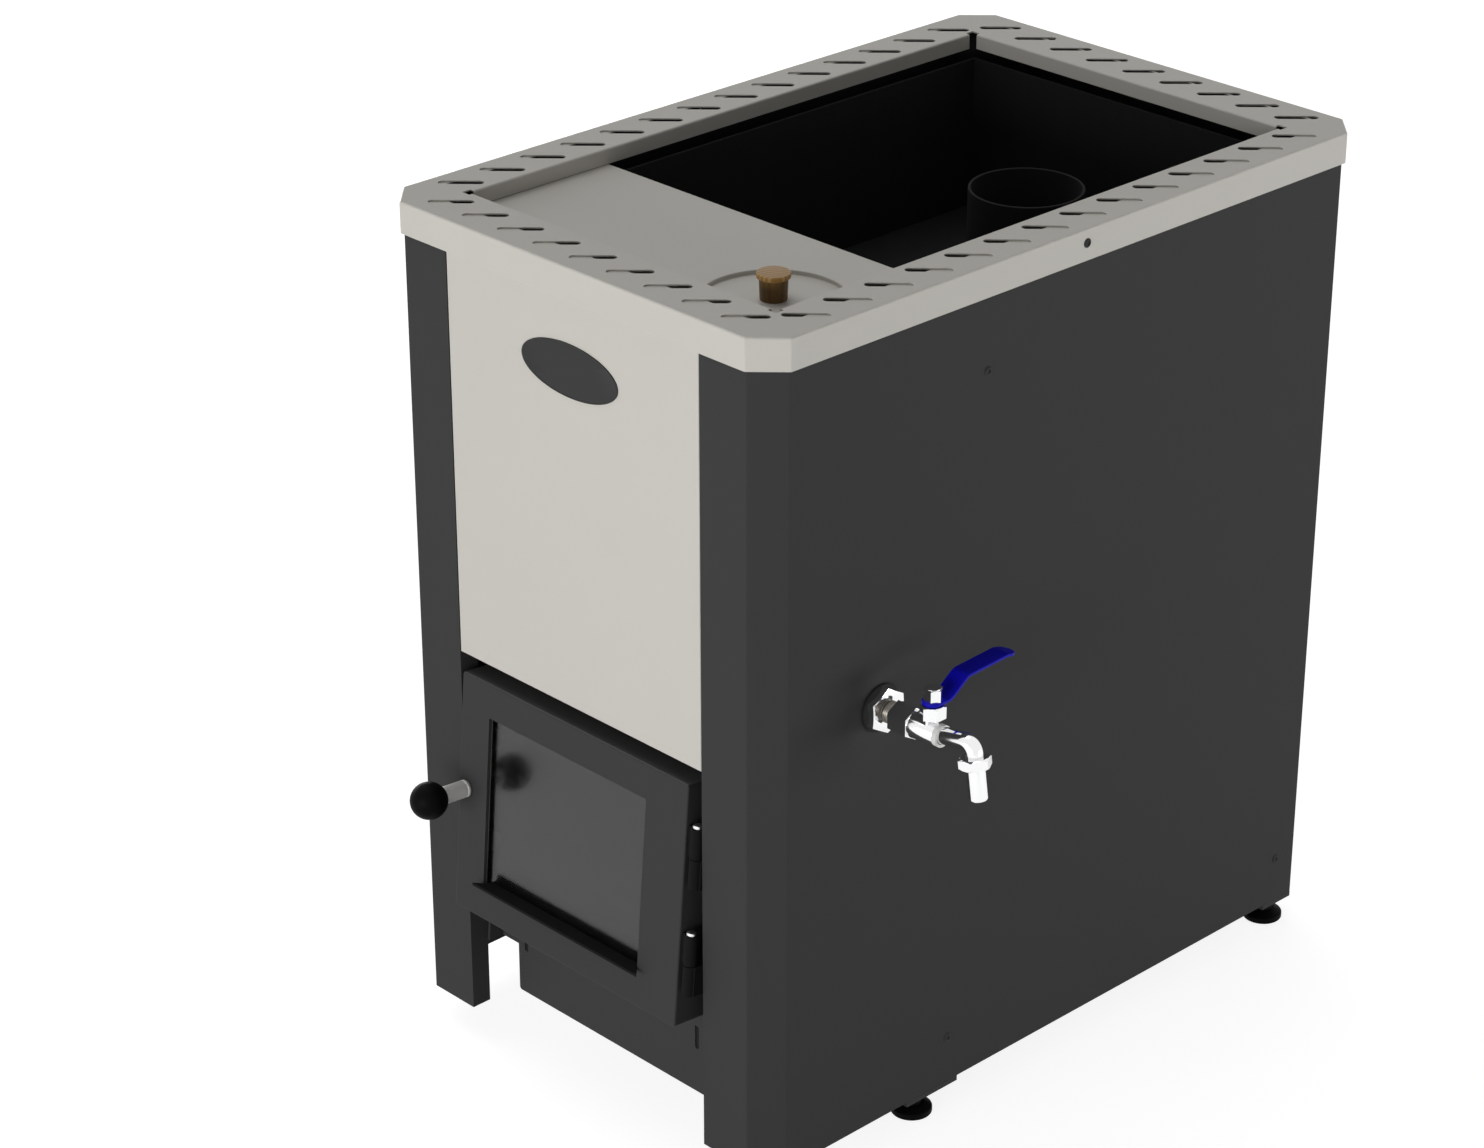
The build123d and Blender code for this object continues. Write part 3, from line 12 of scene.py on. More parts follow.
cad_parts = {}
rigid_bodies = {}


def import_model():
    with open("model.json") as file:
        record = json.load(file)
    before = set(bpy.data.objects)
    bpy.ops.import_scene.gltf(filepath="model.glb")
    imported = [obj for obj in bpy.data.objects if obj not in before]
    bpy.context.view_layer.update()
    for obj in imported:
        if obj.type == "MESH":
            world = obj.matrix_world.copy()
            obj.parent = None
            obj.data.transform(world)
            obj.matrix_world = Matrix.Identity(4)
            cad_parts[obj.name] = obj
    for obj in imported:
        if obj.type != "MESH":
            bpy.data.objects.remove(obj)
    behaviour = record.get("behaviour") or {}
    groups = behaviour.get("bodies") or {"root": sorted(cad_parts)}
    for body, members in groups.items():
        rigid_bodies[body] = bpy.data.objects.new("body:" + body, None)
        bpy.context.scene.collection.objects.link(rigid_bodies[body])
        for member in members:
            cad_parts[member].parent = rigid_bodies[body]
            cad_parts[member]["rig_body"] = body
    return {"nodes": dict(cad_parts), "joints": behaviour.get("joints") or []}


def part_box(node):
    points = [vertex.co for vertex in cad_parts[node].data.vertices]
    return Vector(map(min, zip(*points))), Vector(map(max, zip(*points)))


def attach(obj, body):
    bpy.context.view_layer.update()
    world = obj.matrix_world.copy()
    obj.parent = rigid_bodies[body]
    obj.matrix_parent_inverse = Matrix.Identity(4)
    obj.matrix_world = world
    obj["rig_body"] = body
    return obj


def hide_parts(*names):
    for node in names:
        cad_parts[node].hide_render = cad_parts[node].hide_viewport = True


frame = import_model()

LOG = logging.getLogger("stove")
MM = 0.001
UP = Vector((0, 0, 1))
REARWARDS = Vector((0, 1, 0))

Colour = tuple[float, float, float]
Outline = list[tuple[float, float]]


# Shader maths

def _operation(kind: str, swapped: bool = False) -> Callable[..., "Wire"]:
    """Method that adds one Math node.

    Args:
        kind: The node's operation.
        swapped: Whether the other value comes first.

    Returns:
        The method, for use in Wire.
    """
    def method(self: "Wire", other: "Wire | float" = 0.0) -> "Wire":
        """Add the node and return its result."""
        first, second = (other, self) if swapped else (self, other)
        return self.sheet.node("ShaderNodeMath", {"operation": kind}, {0: first, 1: second})

    return method


class Wire:
    """A socket of a node tree that takes part in sums, products and comparisons."""

    def __init__(self, sheet: "NodeSheet", socket: bpy.types.NodeSocket) -> None:
        """Wrap one output socket of a tree."""
        self.sheet = sheet
        self.socket = socket

    __add__ = __radd__ = _operation("ADD")
    __mul__ = __rmul__ = _operation("MULTIPLY")
    __sub__ = _operation("SUBTRACT")
    __rsub__ = _operation("SUBTRACT", swapped=True)
    __truediv__ = _operation("DIVIDE")
    most = _operation("MAXIMUM")
    wave = _operation("SINE")

    def between(self, low: float, high: float) -> "Wire":
        """Smooth step from 0 at one value to 1 at another."""
        return self.sheet.node(
            "ShaderNodeMapRange", {"interpolation_type": "SMOOTHSTEP"},
            {"Value": self, "From Min": low, "From Max": high},
        )


def socket_named(sockets: Iterable[bpy.types.NodeSocket], key: str | int) -> bpy.types.NodeSocket:
    """Find a socket of a node.

    Args:
        sockets: The node's inputs or outputs.
        key: An index, an identifier, or the name of a socket that is in use.

    Returns:
        The socket.
    """
    found = list(sockets)
    if isinstance(key, int):
        return found[key]
    for socket in found:
        if socket.identifier == key:
            return socket
    return next(s for s in found if s.name == key and s.enabled)


class NodeSheet:
    """A node tree that is written node by node."""

    def __init__(self, tree: bpy.types.NodeTree) -> None:
        """Take up a tree and empty it."""
        self.tree = tree
        tree.nodes.clear()

    def node(self, kind: str, settings: dict | None = None, sockets: dict | None = None,
             output: str | int = 0) -> Wire:
        """Add a node.

        Args:
            kind: The node's type.
            settings: Its properties, set first.
            sockets: Values, wires or lists of wires for its inputs, by name, identifier or index.
            output: Which output the caller goes on with.

        Returns:
            A wire from that output.
        """
        made = self.tree.nodes.new(kind)
        for key, value in (settings or {}).items():
            setattr(made, key, value)
        for key, value in (sockets or {}).items():
            for item in value if isinstance(value, list) else [value]:
                self._feed(socket_named(made.inputs, key), item)
        return Wire(self, socket_named(made.outputs, output))

    def _feed(self, socket: bpy.types.NodeSocket, value: object) -> None:
        """Link a wire to an input, or set the input's own value."""
        if isinstance(value, Wire):
            self.tree.links.new(value.socket, socket)
        elif isinstance(value, tuple) and socket.type == "RGBA":
            socket.default_value = (*value[:3], 1.0)
        else:
            socket.default_value = value

    def end(self, kind: str, last: Wire) -> None:
        """Link the last wire to a new output node."""
        out = self.tree.nodes.new(kind)
        self.tree.links.new(last.socket, out.inputs[0])

    def looked_at(self) -> Wire:
        """1 for what the camera sees straight, in a reflection or through glass, otherwise 0."""
        straight, glossy, through = (
            self.node("ShaderNodeLightPath", output=f"Is {kind} Ray")
            for kind in ("Camera", "Glossy", "Transmission")
        )
        return straight.most(glossy).most(through)


class ShaderTree(NodeSheet):
    """The node tree of one material."""

    def __init__(self, name: str) -> None:
        """Make an empty material whose patterns lie in object coordinates."""
        self.material = bpy.data.materials.new(name)
        self.material.use_nodes = True
        super().__init__(self.material.node_tree)
        self.place = self.node("ShaderNodeTexCoord", output="Object")

    def stretched(self, scale: tuple[float, float, float], turn: tuple = (0, 0, 0),
                  centre: Vector | None = None) -> Wire:
        """Coordinates moved to a centre, turned, then scaled along each axis."""
        place = self.place
        if centre is not None:
            place = self.node("ShaderNodeVectorMath", {"operation": "SUBTRACT"},
                              {0: place, 1: tuple(centre)})
        return self.node("ShaderNodeMapping", None,
                         {"Vector": place, "Rotation": turn, "Scale": scale})

    def noise(self, scale: float, detail: float = 2.0, rough: float = 0.5,
              place: Wire | None = None, warp: float = 0.0) -> Wire:
        """Cloudy noise between 0 and 1; the scale is in features per metre."""
        return self.node("ShaderNodeTexNoise", None, {
            "Vector": place or self.place, "Scale": scale, "Detail": detail,
            "Roughness": rough, "Distortion": warp,
        })

    def cells(self, scale: float, place: Wire | None = None) -> Wire:
        """Distance to the nearest of scattered points."""
        return self.node("ShaderNodeTexVoronoi", None,
                         {"Vector": place or self.place, "Scale": scale}, "Distance")

    def mix(self, share: Wire | float, first: object, second: object) -> Wire:
        """Blend two colours."""
        return self.node("ShaderNodeMix", {"data_type": "RGBA"},
                         {"Factor_Float": share, "A_Color": first, "B_Color": second},
                         "Result_Color")

    def tinted(self, colour: Colour, spread: float, pattern: Wire) -> Wire:
        """A colour made darker and lighter by a pattern between 0 and 1."""
        dark = tuple(c * (1 - spread) for c in colour)
        light = tuple(c * (1 + spread) for c in colour)
        return self.mix(pattern, dark, light)

    def bump(self, height: Wire, depth: float) -> Wire:
        """Surface normal of a height pattern; the depth is in metres."""
        return self.node("ShaderNodeBump", None,
                         {"Height": height, "Distance": depth, "Strength": 1.0}, "Normal")

    def edge_mask(self, reach: float) -> Wire:
        """1 on worn outer and inner edges, 0 on flat faces."""
        soft = self.node("ShaderNodeBevel", {"samples": 4}, {"Radius": reach})
        plain = self.node("ShaderNodeNewGeometry", output="Normal")
        along = self.node("ShaderNodeVectorMath", {"operation": "DOT_PRODUCT"},
                          {0: soft, 1: plain}, "Value")
        return (1.0 - along).between(0.01, 0.16)

    def facing_up(self) -> Wire:
        """Upward part of the surface's normal: 1 on level faces that face up."""
        normal = self.node("ShaderNodeNewGeometry", output="Normal")
        return self.node("ShaderNodeSeparateXYZ", None, {0: normal}, "Z")

    def height(self) -> Wire:
        """Height over the floor in metres."""
        return self.node("ShaderNodeSeparateXYZ", None, {0: self.place}, "Z")

    def surface(self, **sockets: object) -> bpy.types.Material:
        """Close the tree with a Principled shader.

        Args:
            sockets: Values or wires by socket name, with spaces written as underscores.

        Returns:
            The finished material.
        """
        named = {key.replace("_", " "): value for key, value in sockets.items()}
        self.end("ShaderNodeOutputMaterial", self.node("ShaderNodeBsdfPrincipled", None, named))
        return self.material


# Finishes

@dataclass(frozen=True)
class PowderCoat:
    """Baked powder coat: a fine orange-peel skin that wears on its edges.

    The ash weight sets painted top light: faces that face up are painted paler, as light from
    above would make them.
    """

    name: str
    colour: Colour
    roughness: float = 0.5
    peel: float = 0.00003
    gloss: float = 0.35
    worn: float = 0.25
    # ash: weight of painted top light, which paints faces that face up paler.
    ash: float = 0.0

    def material(self) -> bpy.types.Material:
        """Build the node material."""
        t = ShaderTree(self.name)
        cloud = t.noise(6.0, 3.0, 0.55)
        skin = t.noise(620.0, 2.0, 0.5)
        grain = t.noise(2600.0, 1.0, 0.6)
        base = t.tinted(self.colour, 0.035, cloud * 0.6 + grain * 0.4)
        edge = t.edge_mask(0.0012) * t.noise(90.0, 3.0, 0.7).between(0.35, 0.75)
        pale = tuple(min(1.0, c * 1.5 + 0.02) for c in self.colour)
        base = t.mix(edge * self.worn, base, pale)
        # Painted top light: faces that face up are painted paler, in place of light from above.
        if self.ash:
            painted_top_light_tone = tuple(min(1.0, c * 2.8) for c in self.colour)
            base = t.mix(t.facing_up().between(0.6, 0.95) * self.ash, base, painted_top_light_tone)
        rough = self.roughness + 0.08 * cloud - 0.05 * edge
        height = skin * 0.75 + grain * 0.25
        return t.surface(
            Base_Color=base, Roughness=rough, Specular_IOR_Level=self.gloss,
            Normal=t.bump(height, self.peel),
        )


@dataclass(frozen=True)
class HeatCoat:
    """Matt heat-resistant coat on steel plate, with ash haze on what faces up."""

    name: str
    colour: Colour
    haze: float = 0.25
    streak: float = 0.5
    gloss: float = 0.2

    def material(self) -> bpy.types.Material:
        """Build the node material."""
        t = ShaderTree(self.name)
        cloud = t.noise(9.0, 4.0, 0.6)
        drips = t.noise(5.0, 3.0, 0.6, t.stretched((9.0, 9.0, 1.2)))
        pits = t.noise(900.0, 3.0, 0.65)
        dust = t.facing_up().between(0.5, 0.95) * t.noise(38.0, 5.0, 0.7).between(0.38, 0.72)
        base = t.tinted(self.colour, 0.35, cloud * (1 - self.streak) + drips * self.streak)
        ash = tuple(c * 1.6 + 0.012 for c in self.colour)
        base = t.mix(dust * self.haze, base, ash)
        rough = 0.66 + 0.16 * cloud + 0.08 * dust
        return t.surface(
            Base_Color=base, Roughness=rough, Specular_IOR_Level=self.gloss,
            Normal=t.bump(pits, 0.00006),
        )


@dataclass(frozen=True)
class CastIron:
    """Sand-cast iron with a coarse skin."""

    name: str
    colour: Colour = (0.03, 0.029, 0.029)

    def material(self) -> bpy.types.Material:
        """Build the node material."""
        t = ShaderTree(self.name)
        sand = t.noise(420.0, 5.0, 0.7)
        lumps = t.noise(60.0, 2.0, 0.5)
        rust = t.noise(22.0, 5.0, 0.75).between(0.58, 0.8)
        base = t.mix(rust * 0.35, t.tinted(self.colour, 0.3, sand), (0.075, 0.038, 0.022))
        return t.surface(
            Base_Color=base, Roughness=0.6 + 0.25 * sand, Metallic=0.35,
            Normal=t.bump(sand * 0.7 + lumps * 0.3, 0.00035),
        )


@dataclass(frozen=True)
class BrightMetal:
    """Plated, brushed or raw metal with fine scratches along one direction."""

    name: str
    colour: Colour
    roughness: float
    brushed: tuple[float, float, float] = (1.0, 1.0, 1.0)
    brush_depth: float = 0.000004
    stain: float = 0.06
    metallic: float = 1.0

    def material(self) -> bpy.types.Material:
        """Build the node material."""
        t = ShaderTree(self.name)
        lines = t.noise(260.0, 3.0, 0.6, t.stretched(self.brushed))
        smudge = t.noise(55.0, 4.0, 0.65)
        base = t.tinted(self.colour, self.stain, smudge * 0.6 + lines * 0.4)
        rough = self.roughness * (0.75 + 0.5 * smudge) + 0.12 * self.roughness * lines
        return t.surface(
            Base_Color=base, Metallic=self.metallic, Roughness=rough,
            Normal=t.bump(lines, self.brush_depth),
        )


@dataclass(frozen=True)
class Moulded:
    """Moulded or dipped plastic and rubber."""

    name: str
    colour: Colour
    roughness: float
    texture: float = 0.00002
    gloss: float = 0.4

    def material(self) -> bpy.types.Material:
        """Build the node material."""
        t = ShaderTree(self.name)
        flow = t.noise(35.0, 3.0, 0.55, warp=0.6)
        fine = t.noise(1500.0, 2.0, 0.55)
        scuff = t.noise(160.0, 5.0, 0.75).between(0.6, 0.82)
        base = t.tinted(self.colour, 0.08, flow * 0.7 + fine * 0.3)
        base = t.mix(scuff * 0.12, base, tuple(c * 1.3 + 0.015 for c in self.colour))
        return t.surface(
            Base_Color=base, Roughness=self.roughness + 0.1 * flow + 0.1 * scuff,
            Specular_IOR_Level=self.gloss,
            Normal=t.bump(fine * 0.5 + flow * 0.5, self.texture),
        )


@dataclass(frozen=True)
class TurnedWood:
    """Varnished beech, turned along its grain, with lathe rings, and its body under the flange
    painted darker as shade.
    """

    name: str
    centre: Vector
    low: float
    high: float
    light: Colour = (0.42, 0.25, 0.085)
    dark: Colour = (0.27, 0.14, 0.035)

    def material(self) -> bpy.types.Material:
        """Build the node material."""
        t = ShaderTree(self.name)
        heart = self.centre + Vector((0.019, -0.013, 0))
        rings_at = t.stretched((1.0, 1.0, 0.16), centre=heart)
        rings = t.node("ShaderNodeTexWave", {"wave_type": "RINGS", "rings_direction": "Z"}, {
            "Vector": rings_at, "Scale": 70.0, "Distortion": 1.6, "Detail": 2.0,
            "Detail Scale": 1.2,
        }, "Fac")
        fibre = t.noise(900.0, 4.0, 0.7, t.stretched((1.0, 1.0, 0.045)))
        flecks = t.cells(700.0, t.stretched((1.0, 1.0, 0.3))).between(0.05, 0.32)
        level = (t.height() - self.low) / (self.high - self.low)
        # Painted shade: the body under the flange is painted darker than the flange.
        shade = level.between(0.74, 0.86)
        grain = rings * 0.5 + fibre * 0.5
        base = t.mix(grain.between(0.25, 0.8), self.dark, self.light)
        deep = t.mix(0.8, base, tuple(0.3 * c for c in self.dark))
        base = t.mix(shade, deep, base)
        base = t.mix((1.0 - flecks) * 0.3, base, self.dark)
        turned = (t.height() * (2 * pi / 0.0007)).wave()
        return t.surface(
            Base_Color=base, Roughness=0.36 + 0.14 * fibre, Coat_Weight=0.08,
            Coat_Roughness=0.25, Specular_IOR_Level=0.25,
            Normal=t.bump(fibre * 0.8 + turned * 0.1, 0.00005),
        )


@dataclass(frozen=True)
class SmokedGlass:
    """Heat-resistant pane with a faint smoke haze."""

    name: str
    colour: Colour = (0.34, 0.345, 0.335)

    def material(self) -> bpy.types.Material:
        """Build the node material."""
        t = ShaderTree(self.name)
        haze = t.noise(14.0, 4.0, 0.6)
        wipe = t.noise(70.0, 3.0, 0.6, t.stretched((1.0, 1.0, 0.25), (0, 0.6, 0)))
        base = t.tinted(self.colour, 0.06, haze)
        return t.surface(
            Base_Color=base, Roughness=0.15 + 0.06 * haze * wipe, IOR=1.5,
            Transmission_Weight=1.0, Specular_IOR_Level=0.5,
        )


@dataclass(frozen=True)
class GlassFibre:
    """Woven glass-fibre tape."""

    name: str
    colour: Colour = (0.5, 0.48, 0.43)
    pitch: float = 0.0011

    def material(self) -> bpy.types.Material:
        """Build the node material."""
        t = ShaderTree(self.name)
        across = t.node("ShaderNodeSeparateXYZ", None, {0: t.place}, "X") * (2 * pi / self.pitch)
        along = t.height() * (2 * pi / self.pitch)
        weave = across.wave() * along.wave() * 0.5 + 0.5
        fuzz = t.noise(1800.0, 3.0, 0.7)
        base = t.tinted(self.colour, 0.22, weave * 0.6 + fuzz * 0.4)
        return t.surface(
            Base_Color=base, Roughness=0.85 + 0.1 * fuzz, Sheen_Weight=0.2,
            Normal=t.bump(weave * 0.7 + fuzz * 0.3, 0.0002),
        )


class Slot(Enum):
    """Finishes by the name of their slot in the record."""

    CASING = "casing_grey"
    CREAM = "cream_coat"
    BLACK = "black_steel"
    RAW = "raw_black"
    CAST = "cast"
    PANE = "pane"
    CHROME = "chrome"
    STAINLESS = "stainless"
    LEVER = "blue_lever"
    SEAL = "seal"
    FIBRE = "fibre"
    SEAT = "white_seal"
    BRASS = "brass"
    BEECH = "beech"
    BALL = "ball_black"
    ZINC = "zinc"


class Palette:
    """The stove's materials, one for each slot, and a few that a slot has besides."""

    def __init__(self) -> None:
        """Build every material."""
        knob_low, knob_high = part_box("lid_knob")
        middle = (knob_low + knob_high) / 2
        finishes = {
            Slot.CASING: PowderCoat("casing_coat", (0.045, 0.045, 0.0452), 0.5, gloss=0.05),
            Slot.CREAM: PowderCoat("rim_coat", (0.585, 0.565, 0.52), 0.42, gloss=0.3, worn=0.4),
            # The door coat carries painted top light: its faces that face up are painted paler.
            Slot.BLACK: PowderCoat("door_coat", (0.043, 0.043, 0.0432), 0.56, gloss=0.08,
                                   ash=1.0),
            Slot.RAW: HeatCoat("body_coat", (0.0135, 0.0135, 0.0137), gloss=0.09),
            Slot.CAST: CastIron("grate_iron"),
            Slot.PANE: SmokedGlass("door_pane"),
            Slot.CHROME: BrightMetal("tap_chrome", (0.86, 0.865, 0.87), 0.09, stain=0.02),
            Slot.STAINLESS: BrightMetal("turned_steel", (0.76, 0.755, 0.74), 0.26,
                                        (1.0, 0.05, 1.0)),
            Slot.LEVER: Moulded("lever_dip", (0.004, 0.0025, 0.42), 0.42, 0.00004, gloss=0.12),
            Slot.SEAL: Moulded("outlet_rubber", (0.012, 0.012, 0.012), 0.7, 0.00006, gloss=0.2),
            Slot.FIBRE: GlassFibre("glass_tape"),
            Slot.SEAT: Moulded("seat_plastic", (0.8, 0.8, 0.78), 0.35),
            Slot.BRASS: BrightMetal("nipple_brass", (0.2, 0.185, 0.16), 0.34, stain=0.3),
            Slot.BEECH: TurnedWood("knob_beech", middle, knob_low.z, knob_low.z + 24.5 * MM),
            Slot.BALL: Moulded("ball_plastic", (0.003, 0.003, 0.003), 0.45, 0.00001, gloss=0.03),
            Slot.ZINC: BrightMetal("zinc_plate", (0.56, 0.57, 0.58), 0.3, stain=0.15),
        }
        self.materials = {slot: finish.material() for slot, finish in finishes.items()}
        # Painted shade: a coat darker than the body's, for the hinge parts and the glass ledge, in
        # place of the deep shade they lie in.
        self.painted_shade_coat = HeatCoat("hinge_painted_shade", (0.008, 0.008, 0.0081), 0.1, gloss=0.05).material()
        self.satin = BrightMetal("sleeve_satin", (0.8, 0.79, 0.77), 0.42, (1.0, 0.05, 1.0),
                                 metallic=0.45).material()

    def __getitem__(self, slot: Slot) -> bpy.types.Material:
        """The material of a slot."""
        return self.materials[slot]


# Mesh tools

def rounded_outline(corners: Sequence[tuple[float, float, float]], steps: int = 4) -> Outline:
    """Round the corners of an outline.

    Args:
        corners: Points as radius, height and rounding.
        steps: How many pieces each rounded corner has.

    Returns:
        The outline's points.
    """
    line: Outline = []
    for i, (x, y, rounding) in enumerate(corners):
        if rounding <= 0 or i in (0, len(corners) - 1):
            line.append((x, y))
            continue
        here = Vector((x, y))
        back = Vector(corners[i - 1][:2]) - here
        ahead = Vector(corners[i + 1][:2]) - here
        reach = min(rounding, 0.48 * back.length, 0.48 * ahead.length)
        a = here + back.normalized() * reach
        b = here + ahead.normalized() * reach
        for k in range(steps + 1):
            s = k / steps
            point = (1 - s) ** 2 * a + 2 * s * (1 - s) * here + s ** 2 * b
            line.append((point.x, point.y))
    return line


def bent_line(corners: Sequence[tuple[float, float, float]], steps: int = 10) -> Outline:
    """Line through corners that are bent to true radii.

    Args:
        corners: Points as distance, height and bend radius.
        steps: How many pieces each bend has.

    Returns:
        The line's points.
    """
    line: Outline = [corners[0][:2]]
    for (x0, y0, _), (x1, y1, radius), (x2, y2, _) in zip(corners, corners[1:], corners[2:]):
        here = Vector((x1, y1))
        back = (Vector((x0, y0)) - here).normalized()
        ahead = (Vector((x2, y2)) - here).normalized()
        turn = pi - back.angle(ahead)
        centre = here + (back + ahead).normalized() * radius / cos(turn / 2)
        first = here + back * radius * tan(turn / 2) - centre
        sense = 1 if back.x * ahead.y - back.y * ahead.x < 0 else -1
        for k in range(steps + 1):
            w = sense * turn * k / steps
            line.append((centre.x + first.x * cos(w) - first.y * sin(w),
                         centre.y + first.x * sin(w) + first.y * cos(w)))
    line.append(corners[-1][:2])
    return line


def frame_at(origin: Vector, axis: Vector) -> Matrix:
    """Matrix that puts a shape's Z axis on a line.

    Args:
        origin: Where the shape's own origin goes.
        axis: Direction of its Z axis.

    Returns:
        The matrix.
    """
    turn = UP.rotation_difference(axis.normalized()).to_matrix().to_4x4()
    return Matrix.Translation(origin) @ turn


def around(count: int) -> list[float]:
    """Angles of one turn in equal steps."""
    return [2 * pi * k / count for k in range(count)]


def from_flat(angle: float) -> float:
    """Angle to the middle of the nearest flat of a hexagon."""
    return (angle + pi / 6) % (pi / 3) - pi / 6


def bridge(shape: bmesh.types.BMesh, rows: Sequence[Sequence[bmesh.types.BMVert]],
           ring: bool = False) -> None:
    """Join rows of corners with faces and turn all faces outwards.

    Args:
        shape: The bmesh that holds the corners.
        rows: Rows with as many corners each, or with one where the skin closes to a point.
        ring: Whether the last row joins the first.
    """
    pairs = list(zip(rows, rows[1:]))
    if ring:
        pairs.append((rows[-1], rows[0]))
    count = max(len(row) for row in rows)
    for below, above in pairs:
        for k in range(count):
            after = (k + 1) % count
            corners = [below[k % len(below)], below[after % len(below)],
                       above[after % len(above)], above[k % len(above)]]
            unique = list(dict.fromkeys(corners))
            if len(unique) > 2:
                shape.faces.new(unique)
    bmesh.ops.recalc_face_normals(shape, faces=shape.faces)


def lathe(name: str, outline: Outline, where: Matrix, segments: int = 64,
          ring: bool = False) -> bpy.types.Object:
    """Turn an outline about its own Z axis.

    Args:
        name: Name of the new object.
        outline: Points as radius and height, from below to above on a solid's outside.
        where: Place of the turned shape.
        segments: Steps round the axis.
        ring: Whether the outline is closed on itself, as for a tube.

    Returns:
        The new object.
    """
    shape = bmesh.new()
    rows = [
        [shape.verts.new((radius * cos(w), radius * sin(w), height))
         for w in (around(segments) if radius > 1e-7 else [0.0])]
        for radius, height in outline
    ]
    bridge(shape, rows, ring)
    shape.transform(where)
    return from_bmesh(name, shape)


def skin(name: str, rows: Sequence[Sequence[Vector]], ring: bool = False,
         sharp: float = 32.0) -> bpy.types.Object:
    """Closed skin over rows of points that each run round a section.

    Args:
        name: Name of the new object.
        rows: Sections, one after the other, with as many points each.
        ring: Whether the last row joins the first, as in a pipe's wall.
        sharp: Crease angle in degrees.

    Returns:
        The new object.
    """
    shape = bmesh.new()
    made = [[shape.verts.new(point) for point in row] for row in rows]
    if not ring:
        shape.faces.new(made[0])
        shape.faces.new(made[-1])
    bridge(shape, made, ring)
    return from_bmesh(name, shape, sharp)


def cut_rectangle(left: float, front: float, right: float, rear: float,
                  cut: float) -> Outline:
    """Rectangle in plan with its corners cut off at 45 degrees.

    Args:
        left: Lowest x.
        front: Lowest y.
        right: Highest x.
        rear: Highest y.
        cut: How far each corner is cut back along both sides.

    Returns:
        The eight corners.
    """
    return [(left + cut, front), (right - cut, front), (right, front + cut),
            (right, rear - cut), (right - cut, rear), (left + cut, rear),
            (left, rear - cut), (left, front + cut)]


def hexagon_nut(name: str, where: Matrix, flats: float, length: float, bore: float,
                both_ends: bool = False) -> bpy.types.Object:
    """Hexagon nut whose corners are turned down to a cone at its free end.

    Args:
        name: Name of the new object.
        where: Matrix whose Z axis is the nut's, with the nut's seat at its origin.
        flats: Width across flats.
        length: Height of the nut.
        bore: Radius of its hole.
        both_ends: Whether the seat's end is turned down too.

    Returns:
        The new object.
    """
    corner = flats / 2 / cos(pi / 6)
    start = 0.95 * flats / 2
    deep = (corner - start) * tan(radians(30))
    cone = [(deep * k / 5, start + (corner - start) * k / 5) for k in range(6)]
    foot = cone if both_ends else [(0.0, corner)]
    head = [(length - h, r) for h, r in reversed(cone)]
    rows = []
    for height, reach in [(0.0, bore), *foot, *head, (length, bore)]:
        sides = [(w, min(reach, flats / 2 / cos(from_flat(w)))) for w in around(72)]
        rows.append([where @ Vector((r * cos(w), r * sin(w), height)) for w, r in sides])
    return skin(name, rows, ring=True, sharp=16.0)


def linked(name: str, data: bpy.types.ID) -> bpy.types.Object:
    """Make an object of a mesh, a lamp or a camera and put it in the scene."""
    made = bpy.data.objects.new(name, data)
    bpy.context.scene.collection.objects.link(made)
    return made


def from_bmesh(name: str, shape: bmesh.types.BMesh, sharp: float = 32.0) -> bpy.types.Object:
    """Turn a bmesh into a linked object with smooth faces and sharp creases.

    Args:
        name: Name of the new object.
        shape: The bmesh, which is freed.
        sharp: Crease angle in degrees.

    Returns:
        The new object.
    """
    mesh = bpy.data.meshes.new(name)
    shape.to_mesh(mesh)
    shape.free()
    smooth(mesh, sharp)
    return linked(name, mesh)


def smooth(mesh: bpy.types.Mesh, sharp: float) -> None:
    """Shade a mesh smooth, with creases where faces turn by more than an angle."""
    mesh.polygons.foreach_set("use_smooth", [True] * len(mesh.polygons))
    mesh.set_sharp_from_angle(angle=radians(sharp))
    mesh.update()


def baked(piece: bpy.types.Object) -> bpy.types.Object:
    """Replace an object's mesh by what its modifiers make of it."""
    bpy.context.view_layer.update()
    graph = bpy.context.evaluated_depsgraph_get()
    result = bpy.data.meshes.new_from_object(piece.evaluated_get(graph), depsgraph=graph)
    old = piece.data
    piece.modifiers.clear()
    piece.data = result
    if old.users == 0:
        bpy.data.meshes.remove(old)
    return piece


def merged_copy(node: str) -> bmesh.types.BMesh:
    """Copy of a node's mesh with its seams closed and its flat faces whole.

    Args:
        node: Name of the CAD node.

    Returns:
        A new bmesh.
    """
    shape = bmesh.new()
    shape.from_mesh(frame["nodes"][node].data)
    bmesh.ops.remove_doubles(shape, verts=shape.verts, dist=2e-6)
    bmesh.ops.dissolve_limit(
        shape, angle_limit=radians(0.4), verts=shape.verts, edges=shape.edges,
    )
    return shape


def softened(name: str, node: str, width: float, steps: int = 2) -> bpy.types.Object:
    """Copy of a CAD node whose edges are broken as a folded, cut or turned edge is.

    Args:
        name: Name of the new object.
        node: CAD node that is copied.
        width: Width of the rounding in metres.
        steps: Pieces of each rounding.

    Returns:
        The new object.
    """
    piece = from_bmesh(name, merged_copy(node), 30.0)
    bevel = piece.modifiers.new("edge_rounding", "BEVEL")
    bevel.width = width
    bevel.segments = steps
    bevel.limit_method = "ANGLE"
    bevel.angle_limit = radians(32)
    bevel.miter_outer = "MITER_ARC"
    bevel.use_clamp_overlap = True
    weights = piece.modifiers.new("flat_faces_first", "WEIGHTED_NORMAL")
    weights.weight = 100
    weights.keep_sharp = True
    return baked(piece)


@dataclass
class Span:
    """How a node or a solid lies along a line."""

    low: float
    high: float
    radius: float


